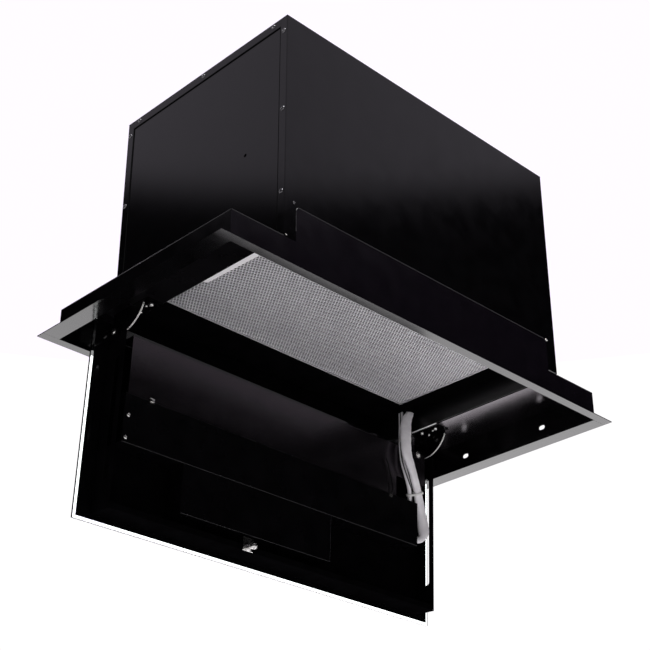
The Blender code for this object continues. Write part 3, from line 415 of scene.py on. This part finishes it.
def pan_screw(bm, centre, axis, radius=3.4, height=2.1, turn=0.3):
    """Adds a domed screw head with a cross recess; centre is on the face it seats on."""
    spin = Vector((0, 0, 1)).rotation_difference(Vector(axis).normalized())
    spin = spin @ Quaternion((0, 0, 1), turn)

    def place(share, rise, angle):
        reach = share * radius
        level = rise * height
        between_arms = abs(math.sin(2 * angle)) > 0.55
        if 0 < share < RECESS_RIM and between_arms:
            level = 0.98 * height
            if share < RECESS_END:
                reach = RECESS_HALF_WIDTH * radius / (abs(math.cos(angle)) + abs(math.sin(angle)))
        local = Vector((reach * math.cos(angle), reach * math.sin(angle), level))
        return bm.verts.new((Vector(centre) + spin @ local) * MM)

    tip = place(*SCREW_PROFILE[0], 0.0)
    rings = [[place(share, rise, 2 * math.pi * step / SCREW_STEPS) for step in range(SCREW_STEPS)]
             for share, rise in SCREW_PROFILE[1:]]
    for step in range(SCREW_STEPS):
        bm.faces.new((tip, rings[0][step], rings[0][(step + 1) % SCREW_STEPS]))
    for one, two in zip(rings, rings[1:]):
        for step in range(SCREW_STEPS):
            after = (step + 1) % SCREW_STEPS
            bm.faces.new((one[step], two[step], two[after], one[after]))
    bm.faces.new(rings[-1])


def bar(bm, low, high, place=None, round_off=0.0):
    """Adds a box between two corners in millimetres, moved by place, its edges rounded if asked."""
    made = bmesh.ops.create_cube(bm, size=1.0)["verts"]
    low, high = Vector(low), Vector(high)
    for vert in made:
        share = vert.co + Vector((0.5, 0.5, 0.5))
        vert.co = Vector([a + (b - a) * s for a, b, s in zip(low, high, share)])
    if round_off:
        edges = list(dict.fromkeys(edge for vert in made for edge in vert.link_edges))
        made = bmesh.ops.bevel(bm, geom=edges, offset=round_off, segments=2,
                               affect="EDGES", profile=0.7)["verts"]
    for vert in made:
        vert.co = (place(*vert.co) if place else vert.co) * MM


CURVE_STEPS = 24
ROUTE_SPACING = 3.0


def smooth_route(points):
    """Evenly spaced points along a smooth curve through the given ones."""
    points = [Vector(p) for p in points]
    ends = [2 * points[0] - points[1]] + points + [2 * points[-1] - points[-2]]
    dense = []
    for before, start, finish, after in zip(ends, ends[1:], ends[2:], ends[3:]):
        for step in range(CURVE_STEPS):
            t = step / CURVE_STEPS
            dense.append(0.5 * (2 * start + (finish - before) * t
                                + (2 * before - 5 * start + 4 * finish - after) * t * t
                                + (3 * start - before - 3 * finish + after) * t ** 3))
    dense.append(points[-1])
    lengths = [0.0]
    for one, two in zip(dense, dense[1:]):
        lengths.append(lengths[-1] + (two - one).length)
    count = max(2, round(lengths[-1] / ROUTE_SPACING))
    picked = []
    index = 0
    for step in range(count + 1):
        want = lengths[-1] * step / count
        while index < len(dense) - 2 and lengths[index + 1] < want:
            index += 1
        part = (want - lengths[index]) / max(lengths[index + 1] - lengths[index], 1e-9)
        picked.append(dense[index].lerp(dense[index + 1], part))
    return picked


def round_section(size):
    """Section of a round cord of this diameter."""
    return lambda out, point: size / 2


def hose(bm, line, section, steps):
    """Adds a capped tube along a line; section(out, point) gives its radius in one direction."""
    rings = []
    side = None
    for index, point in enumerate(line):
        tangent = (line[min(index + 1, len(line) - 1)] - line[max(index - 1, 0)]).normalized()
        if side is None:
            side = tangent.orthogonal().normalized()
        side = (side - tangent * side.dot(tangent)).normalized()
        up = tangent.cross(side)
        ring = []
        for step in range(steps):
            angle = 2 * math.pi * step / steps
            out = side * math.cos(angle) + up * math.sin(angle)
            ring.append(bm.verts.new((point + out * section(out, point)) * MM))
        rings.append(ring)
    for one, two in zip(rings, rings[1:]):
        for step in range(steps):
            after = (step + 1) % steps
            bm.faces.new((one[step], one[after], two[after], two[step]))
    bm.faces.new(rings[0][::-1])
    bm.faces.new(rings[-1])


# ---------------------------------------------------------------- grease filter

FILTER_X = 278.7
FILTER_Y = 123.7
FILTER_Z = 93.0
RIM = 2.4                      # the frame's lip and a little clearance
CELL_X = 5.68
CELL_Y = 8.85
STRAND = 0.84                  # half the width of a strand
SKIN_GAP = 0.35                # between the lip and the skin
SKIN_MIDDLE = 0.21             # from the strands' fronts to the edges of the openings
SKIN_DEPTH = 1.2               # and to their backs
KNUCKLE_RISE = 0.55
STRIP_FRONT_WIDTH = 12.6       # the tapering strip with no openings
STRIP_REAR_WIDTH = 8.5
STRIP_TIP_WIDTH = 1.0
STRIP_REAR_Y = 29.0
STRIP_TIP_Y = 34.0
STRIP_LEVELS = (0.05, 0.32)


def make_filter_skin(finish):
    """Expanded aluminium skin: a lattice of slanted strands, cut off at the frame's rim."""
    bm = bmesh.new()
    edge_x, edge_y = FILTER_X - RIM, FILTER_Y - RIM
    columns = math.ceil(edge_x / CELL_X) + 1
    rows = math.ceil(edge_y / CELL_Y) + 1
    shared = {}

    def corner(x, y, z):
        key = (round(x, 2), round(y, 2), round(z, 2))
        if key not in shared:
            shared[key] = bm.verts.new(Vector((x, y, z)) * MM)
        return shared[key]

    def diamond(x, y, half_x, half_y):
        """Corners of a cell's diamond, kept within the rim."""
        return [(min(max(a, -edge_x), edge_x), min(max(b, -edge_y), edge_y))
                for a, b in ((x + half_x, y), (x, y + half_y), (x - half_x, y), (x, y - half_y))]

    low = FILTER_Z + SKIN_GAP
    hole_x = CELL_X / 2 - STRAND
    hole_y = CELL_Y / 2 - STRAND * CELL_Y / CELL_X
    lifts = (0.0, KNUCKLE_RISE, 0.0, KNUCKLE_RISE)
    for row in range(-2 * rows, 2 * rows + 1):
        for column in range(-columns, columns + 1):
            x = (column + (row % 2) / 2) * CELL_X
            y = row * CELL_Y / 2
            if abs(x) > edge_x + 0.1 or abs(y) > edge_y + 0.1:
                continue
            outer = diamond(x, y, CELL_X / 2, CELL_Y / 2)
            inner = diamond(x, y, hole_x, hole_y)
            front = [corner(a, b, low) for a, b in outer]
            middle = [corner(a, b, low + SKIN_MIDDLE + lift)
                      for (a, b), lift in zip(inner, lifts)]
            back = [corner(a, b, low + SKIN_DEPTH) for a, b in outer]
            for step in range(4):
                after = (step + 1) % 4
                for quad in ((front[step], front[after], middle[after], middle[step]),
                             (middle[step], middle[after], back[after], back[step])):
                    if len(set(quad)) == 4:
                        try:
                            bm.faces.new(quad)
                        except ValueError:
                            # Cells cut by the rim can share a face that is already there
                            pass
    skin = mesh_object("filter_skin", bm, finish, "filter")
    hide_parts("filter_face")


def make_plain_strip(finish):
    """Tapering strip without openings along the front half of the skin's left end."""
    left, front = -(FILTER_X - RIM), -(FILTER_Y - RIM)
    outline = [(left, front), (left + STRIP_FRONT_WIDTH, front),
               (left + STRIP_REAR_WIDTH, STRIP_REAR_Y), (left + STRIP_TIP_WIDTH, STRIP_TIP_Y),
               (left, STRIP_TIP_Y)]
    bm = bmesh.new()
    rings = [[bm.verts.new(Vector((x, y, FILTER_Z + level)) * MM) for x, y in outline]
             for level in STRIP_LEVELS]
    bm.faces.new(rings[0])
    bm.faces.new(rings[1])
    for step in range(len(outline)):
        after = (step + 1) % len(outline)
        bm.faces.new((rings[0][step], rings[0][after], rings[1][after], rings[1][step]))
    mesh_object("filter_plain_strip", bm, finish, "filter")


# ---------------------------------------------------------------- glass

GLASS_X = 387.6
GLASS_FRONT = -311.75
GLASS_REAR = 16.75
GLASS_OUTER = -14.5
GLASS_INNER = -10.5
CLEAR_BORDER = 4.6


def make_glass(clear, paint):
    """Clear sheet with polished edges and black paint on its inner face, inset as a border."""
    bm = bmesh.new()
    bar(bm, (-GLASS_X, GLASS_FRONT, GLASS_OUTER), (GLASS_X, GLASS_REAR, GLASS_INNER), opened, 0.6)
    sheet = mesh_object("glass_sheet", bm, clear, "panel", 25)
    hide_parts("glass_panel")
    bm = bmesh.new()
    painted_x = GLASS_X - CLEAR_BORDER
    bar(bm, (-painted_x, GLASS_FRONT + CLEAR_BORDER, GLASS_INNER - 0.12),
        (painted_x, GLASS_REAR - 0.1, GLASS_INNER + 0.05), opened)
    mesh_object("glass_back_paint", bm, paint, "panel")


# ---------------------------------------------------------------- harness

# Routes in millimetres, from inside the hood to inside the panel
SLEEVE_ROUTE = [
    (290.0, 122.0, 299.5), (291.0, 122.0, 270.0), (297.0, 123.0, 225.0), (301.0, 124.0, 180.0),
    (302.8, 124.2, 140.0), (302.8, 124.2, 110.0), (301.5, 123.8, 86.0), (284.5, 116.0, 56.0),
    (274.0, 108.0, 30.0), (267.5, 102.5, 6.0), (268.0, 101.3, -14.0), (276.5, 102.5, -30.0),
    (287.3, 105.7, -45.5), (298.7, 110.5, -60.0), (311.0, 116.5, -73.5), (321.0, 122.5, -88.0),
    (327.5, 126.0, -102.0), (331.5, 127.5, -117.0), (335.0, 127.5, -132.0), (335.0, 128.0, -146.0),
    (328.0, 131.0, -156.0), (315.0, 134.5, -159.0), (300.0, 137.0, -155.0), (285.0, 138.0, -147.0),
    (270.0, 138.5, -139.0),
]
CABLE_ROUTE = [
    (270.0, 150.0, 299.5), (272.0, 149.0, 270.0), (280.0, 144.0, 225.0), (287.0, 138.5, 180.0),
    (291.5, 135.4, 150.0), (292.2, 134.8, 125.0), (292.2, 134.8, 100.0), (291.5, 134.4, 84.0),
    (287.0, 130.5, 60.0), (278.8, 124.0, 35.0), (272.5, 118.5, 18.0), (269.5, 115.5, 0.0),
    (270.5, 115.0, -19.0), (274.0, 114.8, -34.5), (280.5, 116.0, -48.0), (287.8, 118.3, -60.0),
    (295.5, 121.7, -71.5), (302.5, 127.5, -83.0), (306.0, 132.5, -92.0), (304.0, 137.0, -103.0),
    (296.0, 139.5, -112.0), (282.0, 140.0, -118.0), (265.0, 140.0, -121.0), (246.0, 140.0, -122.0),
]
WIRE_ROUTE = [
    (286.0, 131.0, 96.0), (282.5, 127.8, 80.0), (276.0, 121.5, 58.0), (271.6, 118.2, 40.0),
    (266.6, 115.2, 18.0), (264.3, 112.3, 0.0), (265.3, 111.8, -19.0), (269.2, 111.4, -34.5),
    (276.5, 112.2, -48.0), (285.3, 114.2, -60.0), (295.0, 117.5, -71.5), (302.5, 122.0, -83.0),
    (307.0, 128.5, -94.0), (307.0, 134.0, -108.0), (298.0, 137.0, -118.0),
]
LOOP_ROUTE = [
    (231.0, 117.6, -30.0), (235.0, 117.5, -40.0), (239.0, 118.2, -51.0), (244.0, 118.9, -64.0),
    (247.5, 119.4, -77.0), (247.5, 119.9, -87.0), (243.0, 120.1, -96.0),
]
SLEEVE_WIDTH = 21.0
SLEEVE_DEPTH = 12.4
CABLE_SIZE = 8.6
WIRE_SIZE = 2.5
LEAD_SIZE = 2.2
FERRULE_X = (239.3, 243.7)

# How far the sleeve's wide side is turned, in degrees, at heights in millimetres
SLEEVE_TURNS = [(-200.0, 8.0), (-140.0, 12.0), (-112.0, 30.0), (-75.0, 62.0), (-48.0, 66.0),
                (-20.0, 46.0), (0.0, 26.0), (30.0, 10.0), (300.0, 0.0)]
# Share of its left half that is left where the grommet pinches it
SLEEVE_PINCH = [(62.0, 1.0), (90.0, 0.3)]


def sleeve_section(out, point):
    """Radius of the sleeve in one direction: an oval that turns as it goes down, softly rippled."""
    wide, deep = SLEEVE_WIDTH / 2, SLEEVE_DEPTH / 2
    across = Vector((0.707, -0.707, 0.0))
    away = Vector((0.62, 0.62, 0.48))
    turn = math.radians(np.interp(point.z, *zip(*SLEEVE_TURNS)))
    main = across * math.cos(turn) + away * math.sin(turn)
    lean = min(1.0, abs(out.dot(main)))
    side = math.sqrt(1.0 - lean * lean)
    ripple = 1.0 + 0.018 * math.sin(point.z * 0.41 + 3.0 * out.x) + 0.012 * math.sin(point.z * 0.83)
    if out.dot(main) < 0:
        wide *= np.interp(point.z, *zip(*SLEEVE_PINCH))
    return ripple * wide * deep / math.hypot(deep * lean, wide * side)


def add_cord(name, route, section, steps, finish, node):
    """A cord from its CAD route that bends between the hood and the panel."""
    bm = bmesh.new()
    line = smooth_route(route)
    hose(bm, line, section, steps)
    cord = mesh_object(name, bm, finish, "", 60)
    if node:
        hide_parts(node)
    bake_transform(cord)


TIE_CENTRE = (307.4, 120.6, -77.0)
TIE_STEPS = 40
TIE_WIDE = 14.6
TIE_DEEP = 9.6
TIE_EGG = 1.6                  # how much deeper it is round the sleeve than round the cable
TIE_STRAP = ((0.0, -1.9), (1.5, -1.7), (1.5, 1.7), (0.0, 1.9))


def add_tie(finish):
    """Nylon tie round the sleeve and the cable, with its square head."""
    centre = Vector(TIE_CENTRE)
    along = Vector((0.45, 0.30, -0.84)).normalized()
    wide = Vector((0.91, -0.41, 0.0))
    across = (wide - along * along.dot(wide)).normalized()
    deep = along.cross(across)
    bm = bmesh.new()
    rings = []
    for step in range(TIE_STEPS):
        angle = 2 * math.pi * step / TIE_STEPS
        rings.append([])
        for grow, shift in TIE_STRAP:
            reach = centre + across * math.cos(angle) * (TIE_WIDE + grow) + along * shift
            reach += deep * math.sin(angle) * (TIE_DEEP + TIE_EGG * math.cos(angle) + grow)
            rings[-1].append(bm.verts.new(reach * MM))
    for step in range(TIE_STEPS):
        one, two = rings[step], rings[(step + 1) % TIE_STEPS]
        for side in range(4):
            after = (side + 1) % 4
            bm.faces.new((one[side], one[after], two[after], two[side]))

    def on_tie(x, y, z):
        return centre + across * x + deep * y + along * z

    bar(bm, (6.0, -12.6, -2.8), (11.0, -8.6, 2.8), on_tie, 0.6)
    mesh_object("cable_tie", bm, finish, "panel", 30)


def make_harness(materials):
    """Soft grey sleeve, thinner cable and black wire between the hood and the panel."""
    grey = materials["grey_sleeve"]
    add_cord("sleeve", SLEEVE_ROUTE, sleeve_section, 28, grey, "harness_sleeve")
    add_cord("thin_cable", CABLE_ROUTE, round_section(CABLE_SIZE), 16, grey, "harness_cable")
    add_cord("black_wire", WIRE_ROUTE, round_section(WIRE_SIZE), 10, materials["black_wire"],
             None)
    bm = bmesh.new()
    hose(bm, smooth_route(LOOP_ROUTE), round_section(LEAD_SIZE), 10)
    mesh_object("sensor_lead", bm, materials["seam"], "panel", 50)
    bm = bmesh.new()
    for x in FERRULE_X:
        bar(bm, (x - 1.4, 118.0, -102.0), (x + 1.4, 121.4, -95.0), None, 0.5)
    mesh_object("lead_ferrules", bm, materials["bright_steel"], "panel", 30)
    add_tie(materials["white_plastic"])


# ---------------------------------------------------------------- edges and seams

def edge_beads(name, runs, radius, finish, body):
    """Rounded beads along runs of points, in millimetres, as one piece."""
    bm = bmesh.new()
    for run in runs:
        hose(bm, [Vector(p) for p in run], round_section(2 * radius), 8)
    mesh_object(name, bm, finish, body, 50)


def make_collar_edges(finish):
    """Rolled top edges of the collar's walls, their beads painted lighter as highlight lines."""
    runs = []
    for side in (-1, 1):
        y = side * (BOX_Y - 0.5)
        runs.append([(-COLLAR_X + 0.4, y, COLLAR_TOP), (-BOX_X - 0.8, y, COLLAR_TOP)])
        runs.append([(BOX_X + 0.8, y, COLLAR_TOP), (COLLAR_X - 0.4, y, COLLAR_TOP)])
        x = side * (COLLAR_X - 0.5)
        runs.append([(x, -BOX_Y + 1.6, COLLAR_TOP), (x, BOX_Y - 1.6, COLLAR_TOP)])
    edge_beads("collar_edges", runs, 0.8, finish, "chassis")


SEAM_INSET = 16.0              # of the upright seams from the box's corners
SEAM_FOOT_Z = 54.2
SEAM_TOP_Z = 462.0
LID_SEAM_Z = (446.6, 448.2)


def make_box_seams(finish):
    """Matte black strips beside the folded returns at both ends of the motor box and along its lid,
    painting the shadow in the seams' gaps.
    """
    bm = bmesh.new()
    for side in (-1, 1):
        face = side * (BOX_X - 0.65)
        for end in (-1, 1):
            y = end * (BOX_Y - SEAM_INSET)
            bar(bm, (face - 0.5, y - 0.8, SEAM_FOOT_Z), (face + 0.5, y + 0.8, SEAM_TOP_Z),
                None, 0.2)
        bar(bm, (face - 0.5, -BOX_Y + SEAM_INSET + 0.5, LID_SEAM_Z[0]),
            (face + 0.5, BOX_Y - SEAM_INSET - 0.5, LID_SEAM_Z[1]), None, 0.2)
    mesh_object("box_seams", bm, finish, "chassis", 30)


APRON_LEFT_X = -297.1
APRON_RIGHT_X = 290.0
APRON_TOP_Z = 112.6
APRON_CORNER = 7.1


def make_apron_seams(finish):
    """Raised edge of the apron that the long rails send up the box's faces, its beads painted
    lighter as highlight lines.
    """
    seam = [(APRON_LEFT_X, 70.0), (APRON_LEFT_X, 104.0)]
    seam += [(APRON_LEFT_X + APRON_CORNER + APRON_CORNER * math.cos(a),
              APRON_TOP_Z - APRON_CORNER + APRON_CORNER * math.sin(a))
             for a in np.linspace(math.pi, math.pi / 2, 6)]
    seam += [(-200.0, APRON_TOP_Z), (APRON_RIGHT_X, APRON_TOP_Z)]
    runs = [[(x, side * (BOX_Y - 0.25), z) for x, z in seam] for side in (-1, 1)]
    edge_beads("apron_seams", runs, 0.62, finish, "chassis")


# Corners of the wiring cover and the control box, in the panel's coordinates, whose beads are
# painted lighter as highlight lines
TRAY_EDGES = [[(97.0, -271.0, 32.5), (97.0, -192.0, 32.5)],
              [(-224.0, -271.0, 32.5), (97.0, -271.0, 32.5)],
              [(-344.0, -190.0, 32.4), (312.0, -190.0, 32.4)],
              [(-337.0, -108.6, 28.0), (262.0, -108.6, 28.0)]]
# Inner edge of the right hinge's foot, where a white bead paints the highlight line
FOOT_EDGE = [(319.4, 73.5, 51.9), (319.4, 132.5, 51.9)]
# The hinge cheek's curved cut: its ends and the point that pulls the curve, as (y, z)
CUT_START = (79.0, 51.2)
CUT_PULL = (86.0, 22.0)
CUT_END = (119.0, 10.6)
CUT_SHOWN_FROM = 0.12          # share of the curve that the foot hides
CHEEK_FACES = (351.2, 352.8)


def make_panel_edges(materials):
    """Bright cut edges of the hinge cheeks, a white bead painting the highlight along a hinge
    foot's edge, and tray edges painted lighter as highlight lines.
    """
    # The white bead is a painted highlight along the foot's edge
    edge_beads("hinge_foot_edge", [FOOT_EDGE], 1.0, materials["strip_aluminium"], "chassis")
    edge_beads("tray_edges", [[opened(*point) for point in line] for line in TRAY_EDGES],
               0.4, materials["edge_painted_highlight"], "panel")
    start, pull, finish = Vector(CUT_START), Vector(CUT_PULL), Vector(CUT_END)
    curve = []
    for step in range(17):
        t = CUT_SHOWN_FROM + (1 - CUT_SHOWN_FROM) * step / 16
        curve.append(start * (1 - t) ** 2 + pull * 2 * t * (1 - t) + finish * t * t)
    runs = [[(side * x, *point) for point in curve] for side in (-1, 1) for x in CHEEK_FACES]
    edge_beads("hinge_cut_edges", runs, 0.55, materials["bright_steel"], "chassis")


# ---------------------------------------------------------------- fixings

# Heights of the screws up the box's front and rear corners, with their Y
CORNER_SCREWS = ((-196, (132.8, 284, 435.6)), (196.5, (132.8, 290, 436)))
LID_SCREW_Z = 457.5
LID_TOP = 463.4
DUCT_COLLAR_TOP = 466.6
FOOT_UNDERSIDE = 49.8
# Y, X and radius of the screws in a hinge's foot
FOOT_SCREWS = ((118.9, 331, 4.2), (113.5, 345, 2.6), (87.1, 333, 3.6))
PIVOT_DOME = ((0, 4.6), (2.4, 4.2), (4.4, 2.9), (5.4, 0.9), (5.4, -0.3), (0, -0.3))
PIVOT_DOME_X = 347.3
COVER_FACE = 32.1
COVER_SCREWS = ((-336, -145), (-338, -182))
NUT = ((0, 3.4), (1.9, 3.2), (2.4, 2.8), (2.4, 2.3), (4.2, 2.3), (4.6, 2.0), (4.6, 0.7),
       (6.4, 0.7), (6.6, 0.4), (6.6, -0.2), (0, -0.2))
NUT_PLACE = (321.0, -12.0, 28.2)


def make_box_screws(finish):
    """Dark screw heads round the motor box and on its lid."""
    bm = bmesh.new()
    for side in (-1, 1):
        for y, heights in CORNER_SCREWS:
            for z in heights:
                pan_screw(bm, (side * (BOX_X - 0.1), y, z), (side, 0, 0), 4.2, 2.0, 0.4 + z)
        for y in (-171, 1, 173):
            pan_screw(bm, (side * (BOX_X - 0.1), y, LID_SCREW_Z), (side, 0, 0), 4.0, 1.9, y)
        pan_screw(bm, (-302, side * (BOX_Y - 0.1), 117.5), (0, side, 0), 2.4, 1.0)
        for x in (-250, -85, 85, 250):
            pan_screw(bm, (x, side * 196.0, LID_TOP), (0, 0, 1), 3.4, 1.7, x)
    for x in (-55, 55):
        for y in (-26, 84):
            pan_screw(bm, (x, y, DUCT_COLLAR_TOP), (0, 0, 1), 2.6, 1.4, x)
    mesh_object("box_screws", bm, finish, "chassis", 40)


def make_bracket_screws(finish):
    """Bright screws of the hinge feet, the pivots' domes and two small ones on the front."""
    bm = bmesh.new()
    pan_screw(bm, (297, -BOX_Y, 112), (0, -1, 0), 2.6, 1.4)
    pan_screw(bm, (-316.5, -BOX_Y, 55.6), (0, -1, 0), 1.3, 0.8)
    for side in (-1, 1):
        for y, x, radius in FOOT_SCREWS:
            pan_screw(bm, (side * x, y, FOOT_UNDERSIDE), (0, 0, -1), radius, 2.2, y)
        pan_screw(bm, (side * 336.0, 96.0, FOOT_UNDERSIDE), (0, 0, -1), 2.2, 1.4, 0.7)
        lathe(bm, PIVOT_DOME, (side * PIVOT_DOME_X, PIVOT_Y, PIVOT_Z), (-side, 0, 0), 20)
    mesh_object("bracket_screws", bm, finish, "chassis", 40)


def make_panel_screws(finish):
    """Screws of the wiring cover, the earth nut and the tray's small clip."""
    outward = opened(0, 0, 1) - opened(0, 0, 0)
    bm = bmesh.new()
    for x, v in COVER_SCREWS:
        pan_screw(bm, opened(x, v, COVER_FACE), outward, 3.2, 1.2, v)
    mesh_object("cover_screws", bm, finish, "panel", 40)
    bm = bmesh.new()
    lathe(bm, NUT, opened(*NUT_PLACE), outward, 24)
    mesh_object("earth_nut", bm, finish, "panel", 35)
    bm = bmesh.new()
    bar(bm, (-302.0, 116.6, -99.0), (-292.0, 119.4, -90.0), None, 0.8)
    bar(bm, (-300.0, 114.8, -96.5), (-294.0, 117.0, -92.5), None, 0.6)
    mesh_object("tray_clip", bm, finish, "panel", 30)


# ---------------------------------------------------------------- the scene

# Nodes whose finish differs from the rest of their slot
OWN_FINISH = {
    "filter_mesh": "filter_core",
    "tray_front_wall": "tray_paint",
    "tray_floor": "tray_paint",
    "left_end_panel": "end_paint",
    "right_end_panel": "end_paint",
    "front_rail": "rail_paint",
    "control_box": "cover_paint",
    "wiring_cover": "cover_paint",
    "left_tray_rail": "tray_paint",
    "right_tray_rail": "tray_paint",
    "upper_plate": "plate_paint",
    "baffle_plate": "tray_paint",
    "left_ceiling_plate": "cover_paint",
    "right_ceiling_plate": "plate_paint",
    "harness_gland": "tray_paint",
}


def make_floor():
    """Plain pale disc far below the hood."""
    finish = shade("pale_floor", (0.86, 0.86, 0.85), 0.55, second=(0.84, 0.84, 0.83),
                   colour_scale=2, rough_spread=0.05, rough_scale=3)
    bm = bmesh.new()
    bmesh.ops.create_circle(bm, cap_ends=True, segments=96, radius=FLOOR_RADIUS,
                            matrix=Matrix.Translation((0, 0, FLOOR_Z)))
    floor = mesh_object("floor", bm, finish, "")


def main():
    make_camera()
    make_world()
    bpy.context.scene.view_settings.view_transform = "Standard"
    materials = make_materials()
    for name, node in NODES.items():
        slot = node.data.materials[0].name.split(".")[0]
        node.data.materials.clear()
        node.data.materials.append(materials[OWN_FINISH.get(name, slot)])
    make_floor()
    make_softbox()
    make_filter_skin(materials["filter_aluminium"])
    make_plain_strip(materials["strip_aluminium"])
    make_glass(materials["clear_glass"], materials["black_glass"])
    make_harness(materials)
    make_collar_edges(materials["edge_painted_highlight"])
    make_box_seams(materials["seam"])
    make_apron_seams(materials["edge_painted_highlight"])
    make_panel_edges(materials)
    make_box_screws(materials["dark_steel"])
    make_bracket_screws(materials["bright_steel"])
    make_panel_screws(materials["bright_steel"])


main()
